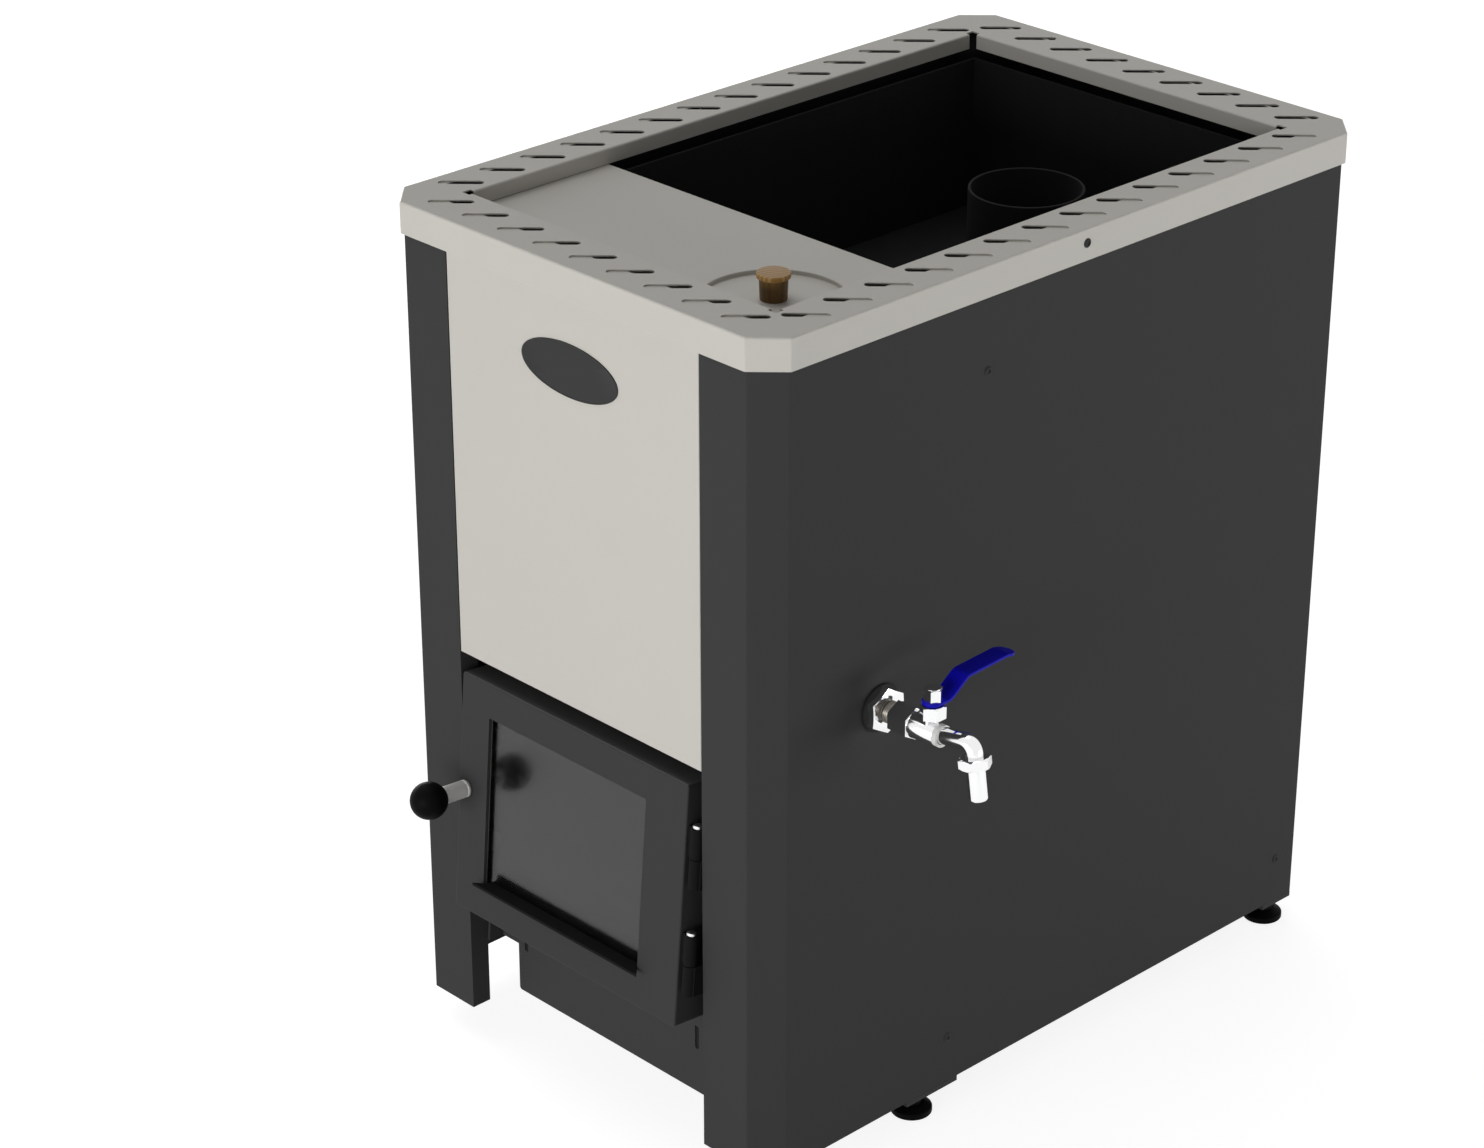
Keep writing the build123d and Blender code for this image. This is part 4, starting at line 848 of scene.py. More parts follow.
def span_along(points: Iterable[Vector], origin: Vector, axis: Vector) -> Span:
    """Measure points along a line.

    Args:
        points: Points in metres.
        origin: A point on the line.
        axis: The line's direction, one metre long.

    Returns:
        Their lowest and highest place on the line and their largest distance from it.
    """
    places = []
    reach = 0.0
    for point in points:
        offset = point - origin
        place = offset.dot(axis)
        places.append(place)
        reach = max(reach, (offset - place * axis).length)
    return Span(min(places), max(places), reach)


def points_of(node: str) -> list[Vector]:
    """Corners of a CAD node's mesh."""
    return [v.co.copy() for v in frame["nodes"][node].data.vertices]


def solids_of(node: str) -> list[list[Vector]]:
    """Corners of each separate solid in a CAD node."""
    shape = merged_copy(node)
    left = set(shape.verts)
    groups = []
    while left:
        stack = [left.pop()]
        group = []
        while stack:
            corner = stack.pop()
            group.append(corner.co.copy())
            for edge in corner.link_edges:
                other = edge.other_vert(corner)
                if other in left:
                    left.remove(other)
                    stack.append(other)
        groups.append(group)
    shape.free()
    return sorted(groups, key=lambda g: tuple(round(c, 4) for c in centre_of(g)))


def centre_of(points: Sequence[Vector]) -> Vector:
    """Middle of the box round some points."""
    low = Vector([min(p[i] for p in points) for i in range(3)])
    high = Vector([max(p[i] for p in points) for i in range(3)])
    return (low + high) / 2


def joint(name: str) -> dict:
    """A joint of the frame by its name."""
    return next(j for j in frame["joints"] if j["name"] == name)


def upright(node: str) -> tuple[Vector, float, float]:
    """Middle of the foot, radius and height of an upright round node."""
    low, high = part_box(node)
    foot = Vector(((low.x + high.x) / 2, (low.y + high.y) / 2, low.z))
    return foot, (high.x - low.x) / 2, high.z - low.z


def lying(node: str) -> tuple[Matrix, float, float]:
    """Place, radius and length of a round node that lies along the X axis."""
    low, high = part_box(node)
    start = (low + high) / 2
    start.x = low.x
    return frame_at(start, Vector((1, 0, 0))), (high.z - low.z) / 2, high.x - low.x


# Geometry node trees

class ShapeTree(NodeSheet):
    """A Geometry Nodes tree with named inputs that ends in real faces with a material."""

    def __init__(self, name: str, **inputs: str) -> None:
        """Make an empty tree.

        Args:
            name: Name of the tree.
            inputs: Float, Int or Object by the name of the input.
        """
        super().__init__(bpy.data.node_groups.new(name, "GeometryNodeTree"))
        face = self.tree.interface
        self.names = {}
        for key, kind in {"Geometry": "Geometry", **inputs, "Material": "Material"}.items():
            made = face.new_socket(key, in_out="INPUT", socket_type="NodeSocket" + kind)
            self.names[key] = made.identifier
        face.new_socket("Geometry", in_out="OUTPUT", socket_type="NodeSocketGeometry")
        self.entry = self.tree.nodes.new("NodeGroupInput")

    def given(self, name: str) -> Wire:
        """Wire from a named input."""
        return Wire(self, socket_named(self.entry.outputs, name))

    def close(self, geometry: Wire) -> None:
        """End the tree with real faces in the given material."""
        real = self.node("GeometryNodeRealizeInstances", None, {0: geometry})
        dressed = self.node("GeometryNodeSetMaterial", None,
                            {"Geometry": real, "Material": self.given("Material")})
        self.end("NodeGroupOutput", dressed)

    def grow(self, name: str, seed_mesh: bpy.types.Mesh, values: dict,
             sharp: float = 32.0) -> bpy.types.Object:
        """Run the tree once.

        Args:
            name: Name of the new object.
            seed_mesh: Mesh that the tree starts from.
            values: Values of the named inputs.
            sharp: Crease angle of the result in degrees.

        Returns:
            A plain mesh object.
        """
        piece = linked(name, seed_mesh)
        modifier = piece.modifiers.new("shape", "NODES")
        modifier.node_group = self.tree
        for key, value in values.items():
            modifier[self.names[key]] = value
        baked(piece)
        smooth(piece.data, sharp)
        return piece


def thread_tree() -> ShapeTree:
    """Tree of a threaded rod: a core and a V-shaped ridge that winds round it."""
    t = ShapeTree("threaded_rod", Radius="Float", Depth="Float", Pitch="Float", Length="Float")
    depth, pitch, length = t.given("Depth"), t.given("Pitch"), t.given("Length")
    root = t.given("Radius") - depth
    turns = length / pitch - 1.2
    ridge = t.node("GeometryNodeCurveSpiral", None, {
        "Resolution": 40, "Rotations": turns, "Start Radius": root, "End Radius": root,
        "Height": turns * pitch,
    })
    crest = t.node("GeometryNodeCurvePrimitiveCircle", None, {"Resolution": 4, "Radius": depth})
    band = t.node("GeometryNodeCurveToMesh", None, {"Curve": ridge, "Profile Curve": crest})
    core = t.node("GeometryNodeMeshCylinder", None,
                  {"Vertices": 40, "Radius": root, "Depth": length})
    parts = []
    for part, rise in ((band, pitch * 0.6), (core, length * 0.5)):
        shift = t.node("ShaderNodeCombineXYZ", None, {"Z": rise})
        parts.append(t.node("GeometryNodeTransform", None,
                            {"Geometry": part, "Translation": shift}))
    t.close(t.node("GeometryNodeJoinGeometry", None, {0: parts}))
    return t


def planted_tree() -> ShapeTree:
    """Tree that plants a template on each point, turned to the point's own direction."""
    t = ShapeTree("planted", Template="Object")
    facing = t.node("GeometryNodeInputNamedAttribute", {"data_type": "FLOAT_VECTOR"},
                    {"Name": "facing"}, "Attribute")
    turn = t.node("FunctionNodeAlignRotationToVector", {"axis": "Z"}, {"Vector": facing})
    source = t.node("GeometryNodeObjectInfo", None, {"Object": t.given("Template")}, "Geometry")
    t.close(t.node("GeometryNodeInstanceOnPoints", None, {
        "Points": t.given("Geometry"), "Instance": source, "Rotation": turn,
    }))
    return t


def bead_tree() -> ShapeTree:
    """Tree of a weld bead: a tube along a curve whose thickness ripples."""
    t = ShapeTree("weld_bead", Radius="Float", Ripples="Float", Steps="Int")
    line = t.node("GeometryNodeMeshToCurve", None, {0: t.given("Geometry")})
    line = t.node("GeometryNodeResampleCurve", None, {"Curve": line, "Count": t.given("Steps")})
    along = t.node("GeometryNodeSplineParameter", output="Factor")
    swell = (along * t.given("Ripples") * (2 * pi)).wave() * 0.16
    drift = t.node("ShaderNodeTexNoise", None, {"Scale": 130.0, "Detail": 2.0})
    size = swell + 0.78 + drift * 0.4
    line = t.node("GeometryNodeSetCurveRadius", None, {"Curve": line, "Radius": size})
    section = t.node("GeometryNodeCurvePrimitiveCircle", None,
                     {"Resolution": 10, "Radius": t.given("Radius")})
    t.close(t.node("GeometryNodeCurveToMesh", None, {
        "Curve": line, "Profile Curve": section, "Fill Caps": True,
    }))
    return t


def points_mesh(name: str, places: Sequence[tuple[Vector, Vector]]) -> bpy.types.Mesh:
    """Mesh of loose points that each carry a direction.

    Args:
        name: Name of the mesh.
        places: Points and directions.

    Returns:
        The mesh.
    """
    mesh = bpy.data.meshes.new(name)
    mesh.from_pydata([p for p, _ in places], [], [])
    facing = mesh.attributes.new("facing", "FLOAT_VECTOR", "POINT")
    facing.data.foreach_set("vector", [c for _, d in places for c in d])
    return mesh


def ring_mesh(name: str, where: Matrix, radius: float, count: int = 96) -> bpy.types.Mesh:
    """Closed ring of edges."""
    mesh = bpy.data.meshes.new(name)
    points = [where @ Vector((radius * cos(w), radius * sin(w), 0)) for w in around(count)]
    mesh.from_pydata(points, [(k, (k + 1) % count) for k in range(count)], [])
    return mesh


# Sub-assemblies

@dataclass
class Assembly:
    """What all the sub-assemblies share: the palette, the node trees and how a piece is placed."""

    palette: Palette
    trees: dict[str, ShapeTree]
    body: str = "root"
    pieces: list[bpy.types.Object] = field(default_factory=list)

    def place(self, piece: bpy.types.Object, slot: Slot, *nodes: str,
              body: str | None = None) -> bpy.types.Object:
        """Dress a finished piece and let it ride on its body.

        Args:
            piece: The piece, in place.
            slot: Its finish.
            nodes: CAD nodes that it stands for.
            body: Body that it rides on, if not the assembly's own.

        Returns:
            The piece.
        """
        piece.data.materials.clear()
        piece.data.materials.append(self.palette[slot])
        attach(piece, body or self.body)
        if nodes:
            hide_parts(*nodes)
        self.pieces.append(piece)
        return piece

    def soften(self, node: str, slot: Slot, width: float = 0.4 * MM, steps: int = 2,
               body: str | None = None) -> bpy.types.Object:
        """Replace a CAD node by a copy with broken edges."""
        piece = softened(node + "_formed", node, width, steps)
        return self.place(piece, slot, node, body=body)

    def coat(self, slot: Slot, *nodes: str) -> None:
        """Give CAD nodes that stay their finish."""
        for node in nodes:
            carried = frame["nodes"][node]
            carried.data.materials.clear()
            carried.data.materials.append(self.palette[slot])

    def grown(self, tree: str, name: str, slot: Slot, seed: bpy.types.Mesh | None = None,
              sharp: float = 32.0, **values: object) -> bpy.types.Object:
        """Run a node tree once, in the finish of a slot.

        Args:
            tree: Which tree.
            name: Name of the new object.
            slot: Its finish.
            seed: Mesh that the tree starts from, if it needs one.
            sharp: Crease angle in degrees.
            values: Values of the tree's own inputs.

        Returns:
            The new object, which isn't placed yet.
        """
        if seed is None:
            seed = bpy.data.meshes.new(name)
        values["Material"] = self.palette[slot]
        return self.trees[tree].grow(name, seed, values, sharp)

    def threaded(self, name: str, where: Matrix, radius: float, length: float, pitch: float,
                 depth: float, slot: Slot, node: str, body: str | None = None) -> None:
        """Put a threaded rod in a CAD node's stead, along the Z axis of a place."""
        piece = self.grown("thread", name, slot, None, 20.0, Radius=radius, Depth=depth,
                           Pitch=pitch, Length=length)
        piece.data.transform(where)
        self.place(piece, slot, node, body=body)

    def planted(self, name: str, template: bpy.types.Object,
                places: Sequence[tuple[Vector, Vector]], slot: Slot, node: str,
                body: str | None = None) -> None:
        """Plant a template on several places and throw the template away."""
        piece = self.grown("planted", name, slot, points_mesh(name, places), 35.0,
                           Template=template)
        self.place(piece, slot, node, body=body)
        bpy.data.objects.remove(template)

    def build(self) -> None:
        """Make and dress the assembly's pieces."""
        raise NotImplementedError

    def report(self) -> None:
        """Log each piece with its size."""
        for piece in self.pieces:
            LOG.info("%s: %s on %s, %d faces", type(self).__name__, piece.name, piece["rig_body"],
                     len(piece.data.polygons))


@dataclass
class Casing(Assembly):
    """Grey sides, cream front panel, back panel, their screws and the bare oval plate."""

    screw_head: float = 4.5 * MM
    screw_rise: float = 1.6 * MM
    screw_socket: float = 1.9 * MM
    plate_half_width: float = 62.8 * MM
    plate_half_height: float = 25.4 * MM
    plate_below_top: float = 96.0 * MM
    plate_thickness: float = 1.2 * MM

    def build(self) -> None:
        """Make and dress the casing."""
        for node in ("casing_left", "casing_right", "back_panel"):
            self.soften(node, Slot.CASING)
        self.soften("front_panel", Slot.CREAM, 0.3 * MM)
        self.soften("casing_spacers", Slot.ZINC, 0.5 * MM)
        self.screws()
        self.oval_plate()

    def screw_template(self) -> bpy.types.Object:
        """Button-head screw with a hexagon socket, head upwards from its seat."""
        r, h, s = self.screw_head, self.screw_rise, self.screw_socket
        floor = 0.35 * h
        outline = rounded_outline([
            (0, floor, 0), (s, floor, 0), (s, h, 0.1 * s), (0.62 * r, h, 0.3 * r),
            (r, 0.3 * h, 0.12 * r), (r, 0, 0),
        ])
        return lathe("screw_template", outline[::-1], Matrix.Identity(4), 24)

    def screws(self) -> None:
        """Plant the screws of the rim and of the casing."""
        rim: list[tuple[Vector, Vector]] = []
        casing: list[tuple[Vector, Vector]] = []
        rim_low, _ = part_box("top_rim")
        for solid in solids_of("casing_screws"):
            middle = centre_of(solid)
            line = Vector((1, 0, 0))
            low = min(solid, key=lambda p: p.x).x
            high = max(solid, key=lambda p: p.x).x
            near = span_along([p for p in solid if p.x < low + self.screw_rise], middle, line)
            far = span_along([p for p in solid if p.x > high - self.screw_rise], middle, line)
            head_first = near.radius > far.radius
            seat = low + self.screw_rise if head_first else high - self.screw_rise
            facing = -line if head_first else line
            group = rim if middle.z > rim_low.z and abs(seat) > abs(rim_low.x) * 0.6 else casing
            group.append((Vector((seat, middle.y, middle.z)), facing))
        self.planted("rim_screws", self.screw_template(), rim, Slot.BLACK, "casing_screws")
        self.planted("casing_screw_heads", self.screw_template(), casing, Slot.CASING,
                     "casing_screws")

    def oval_plate(self) -> None:
        """Bare oval plate on the cream panel: a low dome inside a fine raised border."""
        low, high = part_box("front_panel")
        centre = Vector(((low.x + high.x) / 2, low.y, high.z - self.plate_below_top))
        a, b, t = self.plate_half_width, self.plate_half_height, self.plate_thickness
        profile = rounded_outline([
            (1.0, 0.0, 0), (1.0, 0.8 * t, 0), (0.995, t, 0), (0.965, t, 0), (0.95, 0.62 * t, 0),
            (0.6, 0.74 * t, 0), (0.0, 0.8 * t, 0),
        ])
        shape = bmesh.new()
        rows = [
            [shape.verts.new((a * share * cos(w), -rise, b * share * sin(w)))
             for w in (around(96) if share > 0 else [0.0])]
            for share, rise in profile
        ]
        shape.faces.new(rows[0][::-1])
        bridge(shape, rows)
        shape.transform(Matrix.Translation(centre))
        self.place(from_bmesh("oval_plate", shape, 40.0), Slot.CASING)


@dataclass
class TopRim(Assembly):
    """Cream rim with its diagonal air slots, and the returns that show through them."""

    return_front: float = 34.4 * MM
    return_right: float = 29.9 * MM
    return_left: float = 18.5 * MM
    return_rear: float = 20.5 * MM
    return_start: float = 18.5 * MM
    side_start: float = 6.0 * MM
    return_below_top: float = 1.6 * MM
    return_sheet: float = 0.8 * MM
    outer_cut: float = 11.5 * MM
    inner_cut: float = 4.0 * MM

    def build(self) -> None:
        """Make and dress the rim."""
        self.soften("top_rim", Slot.CREAM, 0.35 * MM)
        self.returns()

    def returns(self) -> None:
        """Flat returns under the rim, which close the outer part of its slots."""
        low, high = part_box("top_rim")
        end, side = self.return_start, self.side_start
        outer = cut_rectangle(low.x + side, low.y + end, high.x - side, high.y - end,
                              self.outer_cut)
        inner = cut_rectangle(low.x + self.return_left, low.y + self.return_front,
                              high.x - self.return_right, high.y - self.return_rear,
                              self.inner_cut)
        top = high.z - self.return_below_top
        levels = ((outer, top - self.return_sheet), (outer, top), (inner, top),
                  (inner, top - self.return_sheet))
        rows = [[Vector((x, y, z)) for x, y in line] for line, z in levels]
        self.place(skin("rim_returns", rows, ring=True), Slot.CREAM)


@dataclass
class TankTop(Assembly):
    """Water tank, its cover, the lid and the turned wooden knob."""

    knob_height: float = 24.5 * MM
    knob_flange: float = 15.0 * MM
    knob_flange_height: float = 4.5 * MM
    knob_neck: float = 12.8 * MM
    knob_foot: float = 12.0 * MM

    def build(self) -> None:
        """Make and dress the tank, the cover and the lid."""
        self.soften("water_tank", Slot.STAINLESS, 0.5 * MM)
        self.soften("tank_cover", Slot.CREAM, 0.3 * MM)
        self.soften("tank_lid", Slot.CREAM, 0.3 * MM, body="lid")
        self.coat(Slot.STAINLESS, "tank_socket")
        self.coat(Slot.ZINC, "lid_knob_screw")
        self.knob()

    def knob(self) -> None:
        """Turned knob with a flat flange over a body that narrows downwards."""
        foot, _, _ = upright("lid_knob")
        tall = self.knob_height
        under = tall - self.knob_flange_height
        outline = rounded_outline([
            (0, 0, 0), (self.knob_foot, 0, 0.8 * MM), (self.knob_neck, under, 0.5 * MM),
            (self.knob_flange, under, 0.8 * MM), (self.knob_flange, tall, 1.0 * MM),
            (0, tall, 0),
        ], 5)
        self.place(lathe("lid_knob_turned", outline, Matrix.Translation(foot), 72),
                   Slot.BEECH, "lid_knob", body="lid")


@dataclass
class StoveBody(Assembly):
    """Black welded body with the stone compartment, the flue collar, the firebox and its grate."""

    collar_wall: float = 3.0 * MM
    mouth_round: float = 1.2 * MM
    bead: float = 2.2 * MM
    bead_ripples: int = 74

    def build(self) -> None:
        """Make and dress the body."""
        for node in ("body_shell", "tank_shelf", "stone_floor", "firebox_floor", "ash_channel"):
            self.soften(node, Slot.RAW, 0.5 * MM)
        self.soften("grate", Slot.CAST, 1.2 * MM, 3)
        self.collar()

    def collar(self) -> None:
        """Flue collar with a rounded mouth, and the weld bead at its foot."""
        foot, outer, tall = upright("flue_collar")
        inner, mouth = outer - self.collar_wall, self.mouth_round
        outline = rounded_outline([
            (outer, 0, 0), (outer, tall, mouth), (inner, tall, mouth), (inner, 0, 0),
        ])
        place = Matrix.Translation(foot)
        self.place(lathe("flue_collar_turned", outline, place, 96, ring=True), Slot.RAW,
                   "flue_collar")
        bead = self.grown(
            "bead", "flue_bead", Slot.RAW, ring_mesh("flue_bead", place, outer), 60.0,
            Radius=self.bead, Ripples=float(self.bead_ripples), Steps=6 * self.bead_ripples)
        self.place(bead, Slot.RAW)


@dataclass
class Door(Assembly):
    """Leaning door with its glass, clips and hinges, and the frame it closes on."""

    body: str = "door"
    acorn_flats: float = 10.0 * MM
    stud_pitch: float = 1.0 * MM
    stud_depth: float = 0.35 * MM
    pin_head: float = 3.0 * MM
    ledge_reach: float = 10.3 * MM
    ledge_depth: float = 5.3 * MM
    ledge_sheet: float = 3.0 * MM
    ledge_below_top: float = 207.4 * MM
    ledge_left: float = 45.6 * MM
    ledge_right: float = 53.1 * MM
    ledge_lap: float = 10.5 * MM
    ledge_proud: float = 0.1 * MM

    def build(self) -> None:
        """Make and dress the door and its frame."""
        self.soften("door_pan", Slot.BLACK, 0.5 * MM)
        self.in_painted_shade("door_knuckles")
        self.soften("glass_rail", Slot.RAW, 0.3 * MM)
        self.ledge()
        self.soften("glass_clips", Slot.ZINC, 0.5 * MM)
        self.coat(Slot.PANE, "door_glass")
        self.coat(Slot.FIBRE, "glass_gasket")
        self.coat(Slot.BLACK, "handle_bush")
        self.soften("door_frame", Slot.BLACK, 0.5 * MM, body="root")
        self.in_painted_shade("hinge_brackets", "root")
        self.soften("lower_front_plate", Slot.BLACK, 0.4 * MM, body="root")
        self.pins()
        self.clip_fasteners()

    def door_axes(self) -> tuple[Vector, Vector]:
        """Directions up the door's face and into the stove, square to that face."""
        up = Vector(joint("door_swing")["axis"])
        return up, Vector(joint("handle_turn")["axis"])

    def in_painted_shade(self, node: str, body: str | None = None) -> None:
        """Hinge steel with broken edges, in a matt coat painted darker as the shade between the
        door and the casing.
        """
        piece = self.soften(node, Slot.RAW, 0.5 * MM, body=body)
        piece.data.materials[0] = self.palette.painted_shade_coat

    def ledge(self) -> None:
        """Ledge that juts out under the pane and widens towards its front edge, in the coat
        painted dark as shade.
        """
        up, inward = self.door_axes()
        low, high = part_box("door_pan")
        pan = points_of("door_pan")
        top = span_along(pan, Vector((0, 0, 0)), up).high
        face = span_along(pan, Vector((0, 0, 0)), inward).low
        left, right = low.x + self.ledge_left, high.x - self.ledge_right
        lap, out, deep = self.ledge_lap, -self.ledge_reach, self.ledge_depth
        plan = [(left, deep), (right, deep), (right, -self.ledge_proud), (right + lap, out),
                (left - lap, out), (left, -self.ledge_proud)]
        rows = []
        for rise in (0.0, self.ledge_sheet):
            place = up * (top - self.ledge_below_top + rise)
            rows.append([Vector((x, 0, 0)) + inward * (face + y) + place for x, y in plan])
        piece = skin("glass_ledge", rows)
        bevel = piece.modifiers.new("edge_rounding", "BEVEL")
        bevel.width = 0.4 * MM
        bevel.segments = 2
        # The ledge takes the coat that is painted dark as shade.
        self.place(baked(piece), Slot.RAW).data.materials[0] = self.palette.painted_shade_coat

    def pins(self) -> None:
        """Turned hinge pins with domed heads."""
        up, _ = self.door_axes()
        line = Vector(joint("door_swing")["pos_m"])
        solids = solids_of("hinge_pins")
        spans = [span_along(solid, line, up) for solid in solids]
        first, head = spans[0], self.pin_head
        under_head = first.high - head - 1 * MM
        shaft = span_along([p for p in solids[0] if (p - line).dot(up) < under_head], line, up)
        neck = first.high - first.low - head
        outline = rounded_outline([
            (0, 0, 0), (shaft.radius, 0, 0.6 * MM), (shaft.radius, neck, 0),
            (first.radius, neck, 0.3 * MM), (first.radius, neck + head, 1.6 * MM),
            (0, neck + head, 0),
        ])
        template = lathe("pin_template", outline, Matrix.Identity(4), 36)
        self.planted("hinge_pins_turned", template, [(line + up * s.low, up) for s in spans],
                     Slot.STAINLESS, "hinge_pins", body="root")

    def seats(self, node: str) -> tuple[list[tuple[Vector, Vector]], list[Span]]:
        """Where the solids of a node start on the door, with their direction and spans."""
        _, inward = self.door_axes()
        places, spans = [], []
        for solid in solids_of(node):
            middle = centre_of(solid)
            spans.append(span_along(solid, middle, inward))
            places.append((middle + inward * spans[-1].low, inward))
        return places, spans

    def clip_fasteners(self) -> None:
        """Threaded studs of the glass clips, and domed hexagon nuts on them."""
        places, spans = self.seats("clip_studs")
        stud = self.grown("thread", "stud_template", Slot.ZINC, Radius=spans[0].radius,
                          Depth=self.stud_depth, Pitch=self.stud_pitch,
                          Length=spans[0].high - spans[0].low)
        self.planted("clip_studs_threaded", stud, places, Slot.ZINC, "clip_studs")
        places, spans = self.seats("clip_nuts")
        nut = self.acorn_template(spans[-1].high - spans[-1].low)
        self.planted("clip_nuts_domed", nut, places, Slot.ZINC, "clip_nuts")

    def acorn_template(self, tall: float) -> bpy.types.Object:
        """Domed hexagon nut of a given height, open side down.

        Args:
            tall: Height over the seat.

        Returns:
            The template object.
        """
        across = self.acorn_flats / 2
        body = 0.45 * tall
        shape = bmesh.new()
        rows = []
        for rise, share, hexagonal in (
            (0.0, 0.94, 1.0), (0.06 * tall, 1.0, 1.0), (body, 1.0, 1.0), (body, 0.93, 0.0),
            (0.66 * tall, 0.86, 0.0), (0.84 * tall, 0.64, 0.0), (0.95 * tall, 0.36, 0.0),
        ):
            row = []
            for w in around(36):
                reach = across * share * (hexagonal / cos(from_flat(w)) + 1 - hexagonal)
                row.append(shape.verts.new((reach * cos(w), reach * sin(w), rise)))
            rows.append(row)
        rows.append([shape.verts.new((0, 0, tall))])
        shape.faces.new(rows[0][::-1])
        bridge(shape, rows)
        return from_bmesh("acorn_template", shape, 25.0)


@dataclass
class Handle(Assembly):
    """Ball knob, bright sleeve, shaft, its collar and the latch arm."""

    body: str = "door_handle"
    ball_growth: float = 1.07
    ball_flat: float = 0.86
    ball_steps: int = 40
    sleeve_groove: float = 0.5 * MM
    groove_place: float = 3.2 * MM
    chamfer: float = 0.8 * MM
    bore_play: float = 0.1 * MM

    def build(self) -> None:
        """Make and dress the handle."""
        self.coat(Slot.STAINLESS, "handle_shaft")
        self.soften("latch_arm", Slot.BLACK, 0.6 * MM)
        self.line = Vector(joint("handle_turn")["pos_m"])
        self.axis = Vector(joint("handle_turn")["axis"])
        self.ball()
        self.sleeve()
        self.collar()

    def measure(self, node: str) -> Span:
        """How a node of the handle lies along the shaft."""
        return span_along(points_of(node), self.line, self.axis)

    def bore(self) -> float:
        """Radius of a bore that fits on the shaft."""
        return self.measure("handle_shaft").radius + self.bore_play

    def where(self, place: float) -> Matrix:
        """Matrix of a point on the shaft, with its Z axis into the stove."""
        return frame_at(self.line + self.axis * place, self.axis)

    def ball(self) -> None:
        """Moulded ball with a flat where it meets the sleeve."""
        span = self.measure("handle_ball")
        r = self.ball_growth * span.radius
        flat = self.ball_flat
        angles = [pi * k / self.ball_steps for k in range(self.ball_steps + 1)]
        outline = [(r * sin(w), r - r * cos(w)) for w in angles if -cos(w) < flat]
        outline[0] = (0, 0)
        edge = r * sqrt(1 - flat * flat)
        outline += [(edge, r * (1 + flat)), (0, r * (1 + flat))]
        self.place(lathe("handle_ball_moulded", outline, self.where(span.low), 64), Slot.BALL,
                   "handle_ball")

    def sleeve(self) -> None:
        """Turned sleeve with a groove near one end."""
        span = self.measure("handle_sleeve")
        r, long, g = span.radius, span.high - span.low, self.sleeve_groove
        bore, cut, groove = self.bore(), self.chamfer, long - self.groove_place
        outline = rounded_outline([
            (bore, 0, 0), (r - cut, 0, 0.2 * MM), (r, cut, 0.3 * MM),
            (r, groove - 2 * g, 0), (r - g, groove - g, 0), (r, groove, 0),
            (r, long - cut, 0.3 * MM), (r - cut, long, 0.2 * MM), (bore, long, 0),
        ])
        piece = lathe("handle_sleeve_turned", outline, self.where(span.low), 64, ring=True)
        self.place(piece, Slot.STAINLESS, "handle_sleeve").data.materials[0] = self.palette.satin

    def collar(self) -> None:
        """Shaft collar with chamfered edges."""
        span = self.measure("shaft_collar")
        r, long, bore = span.radius, span.high - span.low, self.bore()
        outline = rounded_outline([
            (bore, 0, 0), (r, 0, 0.7 * MM), (r, long, 0.7 * MM), (bore, long, 0),
        ])
        self.place(lathe("shaft_collar_turned", outline, self.where(span.low), 48, ring=True),
                   Slot.BLACK, "shaft_collar")


@dataclass
class AshDrawer(Assembly):
    """Front and tray of the ash drawer, and dark sheets in its air slots, painted shade for the
    drawer's unlit inside.
    """

    body: str = "ash_drawer"
    shade_sheet_thickness: float = 0.4 * MM
    shade_sheet_setback: float = 1.2 * MM
    shade_sheet_low: float = 1.0 * MM
    shade_sheet_high: float = 36.5 * MM
    shade_sheet_out: float = 1.0 * MM
    shade_sheet_in: float = 8.0 * MM

    def build(self) -> None:
        """Make and dress the drawer."""
        self.soften("ash_drawer_front", Slot.BLACK, 0.5 * MM)
        self.soften("ash_tray", Slot.RAW, 0.4 * MM)
        self.shade_sheets()

    def shade_sheets(self) -> None:
        """Dark sheets in the air slots, set back from the front's face: painted shade where the
        drawer's unlit inside would show.
        """
        low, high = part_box("ash_drawer_front")
        channel_low, channel_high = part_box("ash_channel")
        y = low.y + self.shade_sheet_setback
        bottom, top = high.z - self.shade_sheet_high, high.z - self.shade_sheet_low
        for side, x, inwards in (("left", channel_low.x, 1), ("right", channel_high.x, -1)):
            outer, inner = x - inwards * self.shade_sheet_out, x + inwards * self.shade_sheet_in
            corners = [(outer, bottom), (inner, bottom), (inner, top), (outer, top)]
            rows = [[Vector((cx, y + depth, cz)) for cx, cz in corners]
                    for depth in (0.0, self.shade_sheet_thickness)]
            # Each sheet is painted shade: a dark plate standing for the unlit inside behind the
            # slot.
            self.place(skin(f"air_screen_{side}", rows), Slot.RAW)


